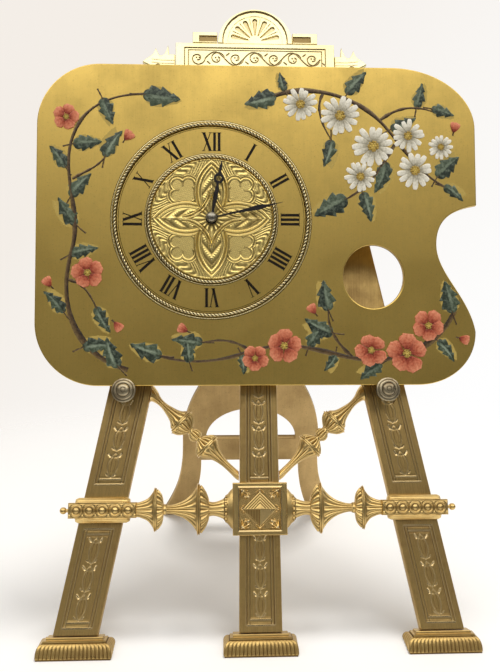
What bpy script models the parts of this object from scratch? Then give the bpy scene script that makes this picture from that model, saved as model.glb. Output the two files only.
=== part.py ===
"""A brass strut clock: an engraved three-legged easel that carries an artist's palette with the dial.

The easel leans back on a hinged strut. The palette hangs on two studs, and a drum on its back holds the
spring-driven movement. Lengths are in metres. The origin is on the table under the centre foot, +Z is up
and the dial faces -Y.
"""

import math

import bmesh
import bpy
from mathutils import Vector

MM = 0.001

# Fits shared by all pieces
SEAT = 0.3 * MM
RUN = 0.3 * MM
OVERRUN = 1.0 * MM

# How the clock stands
EASEL_LEAN = math.radians(22.0)
PALETTE_LEAN = math.radians(15.0)
STRUT_SPREAD = math.radians(21.0)

# Easel legs: flat bars that close in towards the top
LEG_THICK = 4.5 * MM
LEG_WIDTH = 19.1 * MM
LEG_SPREAD = 81.1 * MM
LEG_SLOPE = 0.202
LEG_TOP = 270.0 * MM
POST_FOOT_WIDTH = 18.8 * MM
POST_SLOPE = 0.0171

# Feet: low quarter-round mouldings with a fluted band
FOOT_HEIGHT = 7.8 * MM
FOOT_HALF_WIDTH = 16.2 * MM
FOOT_TOP_HALF = 11.9 * MM
FOOT_TOP_HALF_DEPTH = 2.9 * MM
FOOT_FLUTE_DEPTH = 0.35 * MM
FOOT_FLUTES = 9
FOOT_DEPTH_SHARE = 0.6
# Height share, half-width share between the top and the base, and how deep the band is fluted
FOOT_LEVEL_SHARES = (
    (0.0, 0.86, 0.0),
    (0.09, 1.0, 1.0),
    (0.36, 0.96, 1.0),
    (0.57, 0.74, 1.0),
    (0.72, 0.43, 0.5),
    (0.75, 0.33, 0.0),
    (0.85, 0.33, 0.0),
    (0.87, 0.0, 0.0),
    (1.0, 0.0, 0.0),
)

# Cross rail: flat-backed turned work between square blocks
RAIL_HEIGHT = 60.5 * MM
RAIL_BLOCK_HALF = 12.0 * MM
RAIL_BLOCK_HALF_TALL = 11.3 * MM
RAIL_RIM = 11.4 * MM
RAIL_DEPTH = 2.0 * MM
RAIL_ROUND_SHARE = 0.22
RAIL_BLOCK_DEPTH = 3.6 * MM
RAIL_END_HALF = 14.7 * MM
RAIL_END_LIP_HALF = 12.0 * MM
RAIL_END_TALL = 5.4 * MM
RAIL_END_BAND = 3.3 * MM
RAIL_FINIAL = 3.9 * MM
RAIL_FINIAL_RADIUS = 1.5 * MM
# Place along a finial and half height, as shares of its length and radius
RAIL_FINIAL_SHARES = ((0.1, 0.5), (0.3, 0.5), (0.5, 0.9), (0.7, 1.0), (0.9, 0.8), (1.0, 0.3))
RAIL_EDGE = 0.4 * MM
# Place along the spindle and half height, as shares of its span and of the large rim
RAIL_SPINDLE_SHARES = (
    (0.025, 0.70), (0.055, 0.56), (0.08, 0.50), (0.136, 0.32), (0.21, 0.26), (0.245, 0.29),
    (0.264, 0.55), (0.30, 0.79), (0.336, 0.92), (0.364, 1.0), (0.38, 0.82), (0.41, 0.66),
    (0.48, 0.41), (0.57, 0.24), (0.68, 0.16), (0.71, 0.18), (0.724, 0.42), (0.755, 0.67),
    (0.78, 0.79), (0.81, 0.85), (0.83, 0.67), (0.865, 0.49), (0.936, 0.33), (0.985, 0.28),
)
BOSS_COUNT = 5
BOSS_RADIUS = 2.4 * MM
BOSS_PITCH = 5.6 * MM
BOSS_HIGH = 0.6 * MM
PLAQUE_HALF = 9.6 * MM
PLAQUE_DEEP = 0.5 * MM
DIAMOND_HALF = 8.3 * MM
DIAMOND_HIGH = 2.2 * MM

# Diagonal braces between the side legs and the centre post
BRACE_LEG_HEIGHT = 111.8 * MM
BRACE_POST_RISE = 2.6 * MM
BRACE_RIM = 6.8 * MM
BRACE_LEG_HALF = 4.0 * MM
BRACE_POST_HALF = 1.8 * MM
BRACE_DEPTH = 2.6 * MM
BRACE_BACK = 3.4 * MM
# Place along the brace and half width, as shares of its length and of its rims
BRACE_SHARES = (
    (0.05, 0.30), (0.12, 0.21), (0.20, 0.32), (0.28, 0.55), (0.325, 0.80), (0.348, 1.0),
    (0.37, 0.94), (0.41, 0.68), (0.445, 0.32), (0.46, 0.27), (0.48, 0.42), (0.503, 0.47),
    (0.526, 0.42), (0.546, 0.27), (0.56, 0.34), (0.59, 0.70), (0.622, 0.92), (0.644, 0.97),
    (0.665, 0.80), (0.70, 0.57), (0.76, 0.37), (0.86, 0.22),
)

# Crest: a panel with a stepped pediment, a fan and two side leaves
CREST_HALF = 39.0 * MM
CREST_LAP = 14.0 * MM
CREST_LOW = LEG_TOP - CREST_LAP
CREST_TALL = 28.0 * MM
CREST_HIGH = CREST_LOW + CREST_TALL
CREST_THICK = 3.2 * MM
PEDIMENT_HALF = 30.7 * MM
PEDIMENT_TALL = 5.8 * MM
PEDIMENT_SLOT_SIDE = 3.2 * MM
PEDIMENT_SLOT_LOW = 0.8 * MM
PEDIMENT_SLOT_TALL = 3.2 * MM
PANEL_BORDER = 4.6 * MM
PANEL_DEEP = 0.4 * MM
FAN_RADIUS = 18.3 * MM
FAN_RIM = 2.4 * MM
FAN_DEEP = 0.6 * MM
FAN_PETALS = 7
FAN_PETAL_NEAR = 3.2 * MM
FAN_PETAL_FAR = 12.6 * MM
FAN_PETAL_HALF = 1.1 * MM
FAN_PETAL_DEEP = 0.7 * MM
# Outline of a petal, as shares of its length and half width
FAN_PETAL_SHARES = ((0.0, 0.2), (0.8, 1.0), (1.0, 0.5), (1.0, -0.5), (0.8, -1.0), (0.0, -0.2))
LEAF_RISE = 1.4 * MM
LEAF_LENGTH = 15.8 * MM
LEAF_HALF = 11.7 * MM
LEAF_THICK = 2.6 * MM
LEAF_EYE = 1.1 * MM
LEAF_EYE_SHARE = 0.53
# Outline of the upper half of a side leaf, as shares of its length and half height
LEAF_SHARES = (
    (0.0, 0.56), (0.19, 0.56), (0.22, 1.0), (0.33, 0.58), (0.47, 0.51), (0.60, 0.86),
    (0.67, 0.60), (0.82, 0.43), (1.0, 0.22), (0.79, 0.06),
)

# Pegs cast on the crest and the rail, which pass through the legs and are headed over behind
PEG_RADIUS = 1.0 * MM
PEG_HEAD_RADIUS = 2.0 * MM
PEG_HEAD_TALL = 0.8 * MM

# Palette
PALETTE_HALF_WIDTH = 99.0 * MM
PALETTE_TALL = 144.7 * MM
PALETTE_THICK = 3.0 * MM
PALETTE_GAP = 7.5 * MM
PALETTE_SEAT = 114.5 * MM
PALETTE_CORNER = 28.0 * MM
PALETTE_WIDE_CORNER = 38.0 * MM
THUMB_X = 51.5 * MM
THUMB_Z = 48.6 * MM
THUMB_HALF_WIDTH = 13.8 * MM
THUMB_HALF_TALL = 14.4 * MM
# The right edge below the wide corner, as shares of the palette's half width and height
NOTCH_TIP_SHARES = (1.0, 0.562)
NOTCH_IN_SHARES = (0.812, 0.436)
NOTCH_OUT_SHARES = (0.986, 0.164)
NOTCH_END_SHARES = (0.72, 0.0)
NOTCH_UPPER_SHARES = ((0.888, 0.549), (0.812, 0.518))
NOTCH_LOWER_SHARES = ((0.812, 0.346), (0.958, 0.277))
NOTCH_FOOT_SHARES = ((0.986, 0.069), (0.868, 0.0))

# Studs that carry the palette on the legs
STUD_SHANK_RADIUS = 1.7 * MM
STUD_HEAD_RADIUS = 5.3 * MM
STUD_HEAD_TALL = 2.6 * MM
STUD_COLLAR_RADIUS = 3.3 * MM
STUD_NUT_RADIUS = 3.6 * MM
STUD_NUT_THICK = 2.0 * MM
# How far to the left of the legs' middles both studs stand
STUD_LEFT = 1.3 * MM
# Steps of the head, as shares of its radius and of its height, from the dome to the rim
STUD_HEAD_SHARES = ((0.0, 1.0), (0.35, 0.95), (0.5, 0.62), (0.75, 0.5), (1.0, 0.15), (1.0, 0.0))

# Dial
DIAL_X = -21.2 * MM
DIAL_Z = 74.2 * MM
OUTER_RING_RADIUS = 43.1 * MM
INNER_RING_RADIUS = 28.2 * MM
RING_WIRE_RADIUS = 0.65 * MM
ROSETTE_RADIUS = 27.2 * MM
ROSETTE_THICK = 0.8 * MM
ROSETTE_RELIEF = 0.7 * MM
ARCH_NEAR = 3.2 * MM
ARCH_FAR = 26.4 * MM
ARCH_HALF = 7.4 * MM
ARCH_BAND = 1.6 * MM

# Hands and the time they show
REST_MINUTES = 12.9
REST_HOUR_TURN = math.radians(10.2)
HOUR_HAND_LENGTH = 27.0 * MM
MINUTE_HAND_LENGTH = 32.6 * MM
HAND_THICK = 0.5 * MM
HAND_HUB = 2.7 * MM
HAND_FLOOR = 5.7 * MM
HAND_STEP = 0.9 * MM
HAND_STEM = 0.5 * MM
HOUR_EYE_AT = 18.1 * MM
HOUR_EYE_RADIUS = 2.3 * MM
HOUR_EYE_BORE = 1.2 * MM
MINUTE_SWELL_AT = 21.5 * MM
MINUTE_SWELL = 1.1 * MM
COLLET_RADIUS = 2.3 * MM
COLLET_TALL = 1.6 * MM
COLLET_SHARES = ((0.0, 1.0), (0.6, 0.85), (1.0, 0.3), (1.0, 0.0), (0.0, 0.0))

# Layers behind the palette, as depths from its back face
CASE_DEPTH = 11.1 * MM
COVER_THICK = 1.0 * MM
HOUR_WHEEL_DEPTH = 1.4 * MM
MINUTE_WHEEL_DEPTH = 2.7 * MM
FRONT_PLATE_DEPTH = 3.9 * MM
PLATE_THICK = 1.0 * MM
BACK_PLATE_DEPTH = 9.3 * MM
GREAT_WHEEL_DEPTH = 5.3 * MM
ESCAPE_DEPTH = 5.5 * MM
THIRD_WHEEL_DEPTH = 6.5 * MM
FOURTH_WHEEL_DEPTH = 7.4 * MM
CENTRE_WHEEL_DEPTH = 8.3 * MM
BALANCE_DEPTH = 7.1 * MM
HAIRSPRING_DEPTH = 8.2 * MM
RATCHET_DEPTH = 10.4 * MM
WHEEL_THICK = 0.45 * MM
MOTION_WHEEL_THICK = 0.6 * MM
PINION_FACE = 0.9 * MM

# Case of the movement
CASE_RADIUS = 28.0 * MM
CASE_WALL = 1.0 * MM
FLANGE_RADIUS = 32.6 * MM
FLANGE_THICK = 1.0 * MM
CASE_SCREW_RADIUS = 0.8 * MM
CASE_SCREW_HEAD = 1.4 * MM
CASE_SCREW_HEAD_TALL = 0.7 * MM
CASE_SCREW_BITE = 1.4 * MM
CASE_SCREW_ANGLES = (30.0, 150.0, 270.0)

# Plates and pillars
PLATE_RADIUS = 26.6 * MM
PILLAR_RADIUS = 1.4 * MM
PILLAR_RING = 23.6 * MM
PILLAR_ANGLES = (88.0, 215.0, 325.0)
# Turned shape of a pillar, as shares of its radius and of its length
PILLAR_SHARES = ((0.0, 0.0), (1.0, 0.0), (0.7, 0.4), (0.7, 0.7), (1.0, 1.0), (0.0, 1.0))
PLATE_SCREW_RADIUS = 0.6 * MM
PLATE_SCREW_HEAD = 1.5 * MM
PLATE_SCREW_HEAD_TALL = 0.5 * MM

# Shafts
ARBOR_RADIUS = 0.9 * MM
PIPE_RADIUS = 1.75 * MM
PIVOT_RADIUS = 0.45 * MM
STAFF_RADIUS = 0.6 * MM
BARREL_ARBOR_RADIUS = 1.5 * MM

# Gearing: module, then the wheel's and the pinion's teeth of each mesh
CANNON_MODULE = 0.42 * MM
CANNON_LEAVES = 10
MINUTE_TEETH = 30
HOUR_TEETH = 32
MINUTE_LEAVES = 8
GREAT_MODULE = 0.45 * MM
GREAT_TEETH = 48
CENTRE_LEAVES = 10
CENTRE_MODULE = 0.33 * MM
CENTRE_TEETH = 48
THIRD_LEAVES = 6
THIRD_MODULE = 0.29 * MM
THIRD_TEETH = 45
FOURTH_LEAVES = 6
FOURTH_MODULE = 0.25 * MM
FOURTH_TEETH = 48
ESCAPE_LEAVES = 6
ESCAPE_TEETH = 15
ESCAPE_RADIUS = 4.0 * MM
# Corners of one tooth, as shares of the tooth's pitch and of the wheel's radius
ESCAPE_TOOTH_SHARES = ((0.0, 1.0), (0.3, 0.72), (0.8, 0.72))
BARREL_ANGLE = -90.0
THIRD_ANGLE = 60.0
FOURTH_ANGLE = 150.0
ESCAPE_ANGLE = 170.0
LEVER_ANGLE = 200.0
BALANCE_ANGLE = 250.0
LEVER_REACH = 5.1 * MM
BALANCE_REACH = 7.4 * MM

# Barrel, spring and winding work
BARREL_WALL = 0.5 * MM
BARREL_FLOOR = 0.5 * MM
BARREL_DRUM_RADIUS = 10.0 * MM
BARREL_HOLLOW = 1.7 * MM
BARREL_CAP_THICK = 0.3 * MM
MAINSPRING_TURNS = 3
MAINSPRING_THICK = 0.3 * MM
MAINSPRING_INNER = 2.4 * MM
MAINSPRING_OUTER = 8.9 * MM
RATCHET_RADIUS = 4.4 * MM
RATCHET_TEETH = 14
RATCHET_THICK = 0.5 * MM
RATCHET_TOOTH_SHARES = ((0.0, 1.0), (0.15, 0.84))
CLICK_LENGTH = 6.0 * MM
CLICK_HALF = 1.1 * MM
CLICK_PIN_RADIUS = 0.7 * MM
CLICK_ANGLE = 24.0
KEY_SHANK_RADIUS = 2.1 * MM
KEY_REACH = 24.0 * MM
KEY_WING_SPAN = 6.4 * MM
KEY_WING_TALL = 6.4 * MM
KEY_WING_HALF = 0.9 * MM
# Outline of the key's wings, as shares of their half span and height
KEY_WING_SHARES = (
    (-1.0, 0.35), (-0.85, 0.8), (-0.55, 1.0), (-0.2, 0.7), (0.2, 0.7), (0.55, 1.0), (0.85, 0.8), (1.0, 0.35),
)
KNOB_RADIUS = 4.0 * MM
KNOB_TALL = 3.4 * MM
KNOB_REACH = 21.5 * MM
KNOB_NECK = 1.8 * MM
KNOB_GRIPS = 14
KNOB_GRIP_SHARE = 0.92

# Escapement
LEVER_THICK = 0.5 * MM
LEVER_HALF = 0.55 * MM
PALLET_SPAN = 4.3 * MM
BALANCE_RADIUS = 6.3 * MM
BALANCE_RIM = 0.9 * MM
BALANCE_THICK = 0.7 * MM
BALANCE_ARM_HALF = 0.5 * MM
HAIRSPRING_TURNS = 3
HAIRSPRING_INNER = 1.1 * MM
HAIRSPRING_OUTER = 3.9 * MM
HAIRSPRING_THICK = 0.2 * MM
HAIRSPRING_TALL = 0.4 * MM

# Strut and its hinge
HINGE_HEIGHT = 180.0 * MM
HINGE_BACK = 3.2 * MM
KNUCKLE_RADIUS = 2.3 * MM
KNUCKLE_HALF = 4.9 * MM
PIN_RADIUS = 1.0 * MM
PIN_END = 0.8 * MM
LUG_THICK = 2.2 * MM
LUG_RADIUS = 3.0 * MM
BRACKET_THICK = 1.2 * MM
BRACKET_RISE = 14.0 * MM
BRACKET_GAP = 4.0 * MM
BRACKET_SCREW_RADIUS = 0.9 * MM
BRACKET_SCREW_HEAD = 1.7 * MM
BRACKET_SCREW_TALL = 0.8 * MM
STRUT_THICK = 3.5 * MM
STRUT_HALF = 53.0 * MM
STRUT_ARCH_HALF = 25.2 * MM
STRUT_ARCH_TALL = 21.5 * MM
STRUT_BAR_TOP = 60.5 * MM
STRUT_BAR_LOW = 44.5 * MM
# Outline of half of the strut, as shares of its half spread and of its length from the hinge
STRUT_TONGUE_SHARES = ((0.17, 0.045), (0.17, 0.32))
STRUT_SHOULDER_SHARES = ((0.46, 0.38), (0.722, 0.52), (0.722, 0.66))
STRUT_SHANK_SHARES = ((0.732, 0.83), (0.81, 0.886), (1.0, 1.0))
STRUT_INNER_SHARES = ((0.53, 0.747), (0.53, 0.83), (0.585, 0.91), (0.71, 1.0))
# Below this share of the length an edge belongs to the foot, which is cut level with the table
STRUT_FOOT_SHARE = 0.999

# Facets
ROUND_STEPS = 28
SMALL_STEPS = 10
TINY_STEPS = 7
CURVE_STEPS = 7
RELIEF_POINTS = 6
WIRE_SIDES = 5


# Sizes that follow from those above

def leg_centre(height):
    """Distance of a side leg's middle from the clock's middle, at a height along the easel."""
    return LEG_SPREAD - LEG_SLOPE * height


def post_half(height):
    """Half the centre post's width at a height along the easel."""
    return (POST_FOOT_WIDTH - POST_SLOPE * height) / 2


def towards(angle, reach):
    """A step in the dial's plane, at an angle in degrees from +X towards +Z."""
    return Vector((math.cos(math.radians(angle)), math.sin(math.radians(angle)))) * reach


HINGE_Y = LEG_THICK + HINGE_BACK
HINGE_WORLD_Z = HINGE_HEIGHT * math.cos(EASEL_LEAN) - HINGE_Y * math.sin(EASEL_LEAN)
STRUT_LENGTH = HINGE_WORLD_Z / math.cos(STRUT_SPREAD)
STUD_HEIGHT = PALETTE_SEAT - PALETTE_THICK * math.sin(EASEL_LEAN - PALETTE_LEAN) - SEAT - STUD_SHANK_RADIUS
MINUTE_TURN = math.radians(6.0 * REST_MINUTES)
COVER_BACK = CASE_DEPTH + SEAT + COVER_THICK
TRAIN_FRONT = FRONT_PLATE_DEPTH + PLATE_THICK + RUN
TRAIN_BACK = BACK_PLATE_DEPTH - RUN

CENTRE_AT = Vector((0.0, 0.0))
MINUTE_AT = towards(0.0, CANNON_MODULE * (CANNON_LEAVES + MINUTE_TEETH) / 2)
BARREL_AT = towards(BARREL_ANGLE, GREAT_MODULE * (GREAT_TEETH + CENTRE_LEAVES) / 2)
THIRD_AT = towards(THIRD_ANGLE, CENTRE_MODULE * (CENTRE_TEETH + THIRD_LEAVES) / 2)
FOURTH_AT = THIRD_AT + towards(FOURTH_ANGLE, THIRD_MODULE * (THIRD_TEETH + FOURTH_LEAVES) / 2)
ESCAPE_AT = FOURTH_AT + towards(ESCAPE_ANGLE, FOURTH_MODULE * (FOURTH_TEETH + ESCAPE_LEAVES) / 2)
LEVER_AT = ESCAPE_AT + towards(LEVER_ANGLE, LEVER_REACH)
BALANCE_AT = LEVER_AT + towards(BALANCE_ANGLE, BALANCE_REACH)
HOUR_MODULE = MINUTE_AT.length * 2 / (HOUR_TEETH + MINUTE_LEAVES)
CLICK_AT = BARREL_AT + towards(CLICK_ANGLE, RATCHET_RADIUS + CLICK_LENGTH)


# Shapes

def circle(radius, steps, x=0.0, z=0.0):
    """Points of a circle in the XZ plane."""
    turns = (2 * math.pi * i / steps for i in range(steps))
    return [(x + radius * math.cos(a), z + radius * math.sin(a)) for a in turns]


def rectangle(x0, x1, z0, z1):
    """Corner points of a rectangle in the XZ plane."""
    return [(x0, z0), (x1, z0), (x1, z1), (x0, z1)]


def curve(start, first, second, end, steps=CURVE_STEPS):
    """Points of a cubic curve after its start, up to and with its end."""
    points = []
    for i in range(1, steps + 1):
        t = i / steps
        weights = ((1 - t) ** 3, 3 * t * (1 - t) ** 2, 3 * t * t * (1 - t), t ** 3)
        corners = (start, first, second, end)
        points.append(tuple(sum(w * c[k] for w, c in zip(weights, corners)) for k in (0, 1)))
    return points


def arc(x, z, half_width, half_tall, first, last, steps=CURVE_STEPS):
    """Points of a piece of an ellipse, between two angles in degrees."""
    points = []
    for i in range(steps + 1):
        a = math.radians(first + (last - first) * i / steps)
        points.append((x + half_width * math.cos(a), z + half_tall * math.sin(a)))
    return points


def add_prism(bm, outline, y0, y1):
    """A flat piece cut to an outline in the XZ plane."""
    front = [bm.verts.new((x, y0, z)) for x, z in outline]
    back = [bm.verts.new((x, y1, z)) for x, z in outline]
    bm.faces.new(front)
    bm.faces.new(back)
    for i in range(len(outline)):
        bm.faces.new((front[i - 1], front[i], back[i], back[i - 1]))


def add_band(bm, outer, inner, y0, y1):
    """A flat ring between two outlines that have as many points."""
    loops = [[bm.verts.new((x, y, z)) for x, z in line] for line, y in
             ((outer, y0), (outer, y1), (inner, y1), (inner, y0))]
    for near, far in zip(loops, loops[1:] + loops[:1]):
        for i in range(len(near)):
            bm.faces.new((near[i - 1], near[i], far[i], far[i - 1]))


def add_turned(bm, profile, steps, x=0.0, z=0.0):
    """A round piece about an axis along Y, from (radius, y) points."""
    rings = []
    for radius, y in profile:
        if radius == 0:
            rings.append([bm.verts.new((x, y, z))])
        else:
            rings.append([bm.verts.new((px, y, pz)) for px, pz in circle(radius, steps, x, z)])
    pairs = list(zip(rings, rings[1:]))
    if profile[0][0] > 0:
        pairs.append((rings[-1], rings[0]))
    for near, far in pairs:
        for i in range(steps):
            corners = (near[(i - 1) % len(near)], near[i % len(near)],
                       far[i % len(far)], far[(i - 1) % len(far)])
            bm.faces.new(list(dict.fromkeys(corners)))


def add_rod(bm, radius, y0, y1, x=0.0, z=0.0, steps=SMALL_STEPS):
    """A round bar along Y."""
    add_prism(bm, circle(radius, steps, x, z), y0, y1)


def add_loft(bm, sections):
    """A closed piece through sections that have as many points."""
    rings = [[bm.verts.new(point) for point in section] for section in sections]
    bm.faces.new(rings[0])
    bm.faces.new(rings[-1])
    for near, far in zip(rings, rings[1:]):
        for i in range(len(near)):
            bm.faces.new((near[i - 1], near[i], far[i], far[i - 1]))


def add_spiral(bm, inner, outer, turns, thick, y0, y1, steps):
    """A flat coiled spring of a given strip thickness."""
    sections = []
    for i in range(turns * steps + 1):
        share = i / (turns * steps)
        turn = 2 * math.pi * turns * share
        middle = inner + (outer - inner) * share
        ends = [Vector((math.cos(turn), math.sin(turn))) * (middle + side * thick / 2) for side in (-1, 1)]
        sections.append([(ends[0][0], y0, ends[0][1]), (ends[1][0], y0, ends[1][1]),
                         (ends[1][0], y1, ends[1][1]), (ends[0][0], y1, ends[0][1])])
    add_loft(bm, sections)


def gear(teeth, module, phase=0.0, pointed=False):
    """Outline of a gear with one tooth's middle at the phase, an angle in radians from +X to +Z."""
    pitch = module * teeth / 2
    step = 2 * math.pi / teeth
    if pointed:
        corners = ((0.0, pitch + 0.6 * module), (0.5, pitch - 1.5 * module))
    else:
        corners = ((-0.3, pitch - 1.1 * module), (-0.1, pitch + 0.6 * module),
                   (0.1, pitch + 0.6 * module), (0.3, pitch - 1.1 * module))
    points = []
    for tooth in range(teeth):
        for share, radius in corners:
            a = phase + (tooth + share) * step
            points.append((radius * math.cos(a), radius * math.sin(a)))
    return points


def meshing(angle, teeth):
    """Phase of a gear that has a gap facing back along the line of centres, at an angle in degrees."""
    return math.radians(angle) + math.pi + math.pi / teeth


# Objects

def clear_scene():
    for obj in list(bpy.data.objects):
        bpy.data.objects.remove(obj)


def solid(name, bm):
    """An object from a bmesh, with all its faces turned outwards."""
    bmesh.ops.recalc_face_normals(bm, faces=bm.faces)
    mesh = bpy.data.meshes.new(name)
    bm.to_mesh(mesh)
    bm.free()
    obj = bpy.data.objects.new(name, mesh)
    bpy.context.scene.collection.objects.link(obj)
    return obj


def shape(name, maker, *sizes, **more):
    """An object from one of the add functions above."""
    bm = bmesh.new()
    maker(bm, *sizes, **more)
    return solid(name, bm)


def combine(target, operation, others):
    """Joins or cuts the target with other objects, which are used up."""
    for other in others:
        modifier = target.modifiers.new(other.name, "BOOLEAN")
        modifier.operation = operation
        modifier.object = other
    bpy.context.view_layer.update()
    graph = bpy.context.evaluated_depsgraph_get()
    mesh = bpy.data.meshes.new_from_object(target.evaluated_get(graph))
    target.modifiers.clear()
    target.data = mesh
    for other in others:
        bpy.data.objects.remove(other)
    return target


def join(target, *others):
    return combine(target, "UNION", others)


def cut(target, *others):
    return combine(target, "DIFFERENCE", others)


def frame(name, parent, at, turn):
    """An empty that carries the pieces standing in one plane."""
    obj = bpy.data.objects.new(name, None)
    bpy.context.scene.collection.objects.link(obj)
    obj.parent = parent
    obj.location = at
    obj.rotation_euler = (turn, 0.0, 0.0)
    return obj


def place(obj, material, parent, at=(0.0, 0.0, 0.0), turn=0.0):
    """Gives a finished piece its name, material, parent, place and turn about its own Y axis."""
    obj.data.name = obj.name
    obj.data.materials.clear()
    obj.data.materials.append(material)
    obj.data.shade_smooth()
    obj.data.set_sharp_from_angle(angle=math.radians(35.0))
    obj.parent = parent
    obj.location = at
    obj.rotation_euler = (0.0, turn, 0.0)
    return obj


def metal(name, colour, roughness):
    material = bpy.data.materials.new(name)
    material.use_nodes = True
    surface = material.node_tree.nodes["Principled BSDF"]
    surface.inputs["Base Color"].default_value = (*colour, 1.0)
    surface.inputs["Metallic"].default_value = 1.0
    surface.inputs["Roughness"].default_value = roughness
    return material


# Easel

def foot(name, x, parent, material):
    """A moulded foot whose underside lies flat on the table."""
    bm = bmesh.new()
    steps = FOOT_FLUTES * 2
    front = [(-1 + 2 * i / steps, -1.0, i % 2) for i in range(steps + 1)]
    side = [(1.0, -1 + 2 * i / 4, i % 2) for i in range(1, 4)]
    back = [(1.0, 1.0, 0), (-1.0, 1.0, 0)]
    other = [(-1.0, -y, lobe) for _, y, lobe in side]
    outline = front + side + back + other
    sections = []
    for height_share, width_share, fluted in FOOT_LEVEL_SHARES:
        grow = (FOOT_HALF_WIDTH - FOOT_TOP_HALF) * width_share
        half = FOOT_TOP_HALF + grow
        deep = FOOT_TOP_HALF_DEPTH + FOOT_DEPTH_SHARE * grow
        section = []
        for px, py, lobe in outline:
            swell = FOOT_FLUTE_DEPTH * lobe * fluted
            wide = half + (swell if abs(px) == 1 else 0.0)
            far = deep + (swell if abs(py) == 1 else 0.0)
            y = LEG_THICK / 2 + py * far
            slant = y * math.tan(EASEL_LEAN) * (1 - height_share)
            section.append((px * wide, y, FOOT_HEIGHT * height_share + slant))
        sections.append(section)
    add_loft(bm, sections)
    return place(solid(name, bm), material, parent, (x, 0.0, 0.0))


CREST_PEG_HEIGHT = (CREST_LOW + LEG_TOP) / 2


def peg_holes():
    bm = bmesh.new()
    for height in (RAIL_HEIGHT, CREST_PEG_HEIGHT):
        for side in (-1, 0, 1):
            add_rod(bm, PEG_RADIUS + RUN, -OVERRUN, LEG_THICK + OVERRUN, side * leg_centre(height), height,
                    TINY_STEPS)
    return solid("peg_holes", bm)


def pegs(height, root):
    """The three pegs of a casting, with their heads behind the legs."""
    bm = bmesh.new()
    back = LEG_THICK + SEAT
    for side in (-1, 0, 1):
        profile = [(0.0, -root), (PEG_RADIUS, -root), (PEG_RADIUS, back), (PEG_HEAD_RADIUS, back),
                   (PEG_HEAD_RADIUS / 2, back + PEG_HEAD_TALL), (0.0, back + PEG_HEAD_TALL)]
        add_turned(bm, profile, TINY_STEPS, side * leg_centre(height), height)
    return solid("pegs", bm)


def stud_x(side):
    return side * leg_centre(STUD_HEIGHT) - STUD_LEFT


def stud_holes():
    bm = bmesh.new()
    for side in (-1, 1):
        add_rod(bm, STUD_SHANK_RADIUS + RUN, -OVERRUN, LEG_THICK + OVERRUN, stud_x(side), STUD_HEIGHT,
                SMALL_STEPS)
    return solid("stud_holes", bm)


def side_leg(name, side, parent, material):
    low = FOOT_HEIGHT + SEAT
    outline = [(side * leg_centre(height) + across * LEG_WIDTH / 2, height)
               for height, across in ((low, -1), (low, 1), (LEG_TOP, 1), (LEG_TOP, -1))]
    leg = shape(name, add_prism, outline, 0.0, LEG_THICK)
    return place(cut(leg, peg_holes(), stud_holes()), material, parent)


def centre_post(parent, material):
    low = FOOT_HEIGHT + SEAT
    outline = [(across * post_half(height), height)
               for height, across in ((low, -1), (low, 1), (LEG_TOP, 1), (LEG_TOP, -1))]
    post = shape("centre_post", add_prism, outline, 0.0, LEG_THICK)
    return place(cut(post, peg_holes(), bracket_screw_holes()), material, parent)


def relief(half, depth, squareness):
    """One half-round or square section with a flat back, as (across, forward) points."""
    points = []
    for i in range(RELIEF_POINTS):
        a = math.pi * (i / (RELIEF_POINTS - 1) - 0.5)
        rounded = (math.sin(a), math.cos(a))
        straight = (max(-1.0, min(1.0, 1.5 * math.sin(a))), 1.0 if 0 < i < RELIEF_POINTS - 1 else 0.0)
        across, forward = (r + (s - r) * squareness for r, s in zip(rounded, straight))
        points.append((half * across, depth * forward))
    return points


def rail_stations():
    """(x, half height, depth, squareness) along the right half of the rail."""
    near = RAIL_BLOCK_HALF
    end_centre = leg_centre(RAIL_HEIGHT)
    far = end_centre - RAIL_END_HALF
    stations = [(0.0, RAIL_BLOCK_HALF_TALL, RAIL_BLOCK_DEPTH, 1.0),
                (near, RAIL_BLOCK_HALF_TALL, RAIL_BLOCK_DEPTH, 1.0)]
    for place_share, tall_share in RAIL_SPINDLE_SHARES:
        half = RAIL_RIM * tall_share
        stations.append((near + (far - near) * place_share, half, RAIL_DEPTH + RAIL_ROUND_SHARE * half, 0.0))
    lip = RAIL_END_HALF - RAIL_END_LIP_HALF
    last = end_centre + RAIL_END_HALF
    for x, half in ((far, RAIL_END_BAND), (far + lip, RAIL_END_BAND), (far + lip + RAIL_EDGE, RAIL_END_TALL),
                    (last - lip - RAIL_EDGE, RAIL_END_TALL), (last - lip, RAIL_END_BAND),
                    (last, RAIL_END_BAND)):
        stations.append((x, half, RAIL_BLOCK_DEPTH, 1.0))
    for share, half_share in RAIL_FINIAL_SHARES:
        half = RAIL_FINIAL_RADIUS * half_share
        stations.append((last + RAIL_FINIAL * share, half, half + RAIL_FINIAL_RADIUS, 0.0))
    return stations


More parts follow.
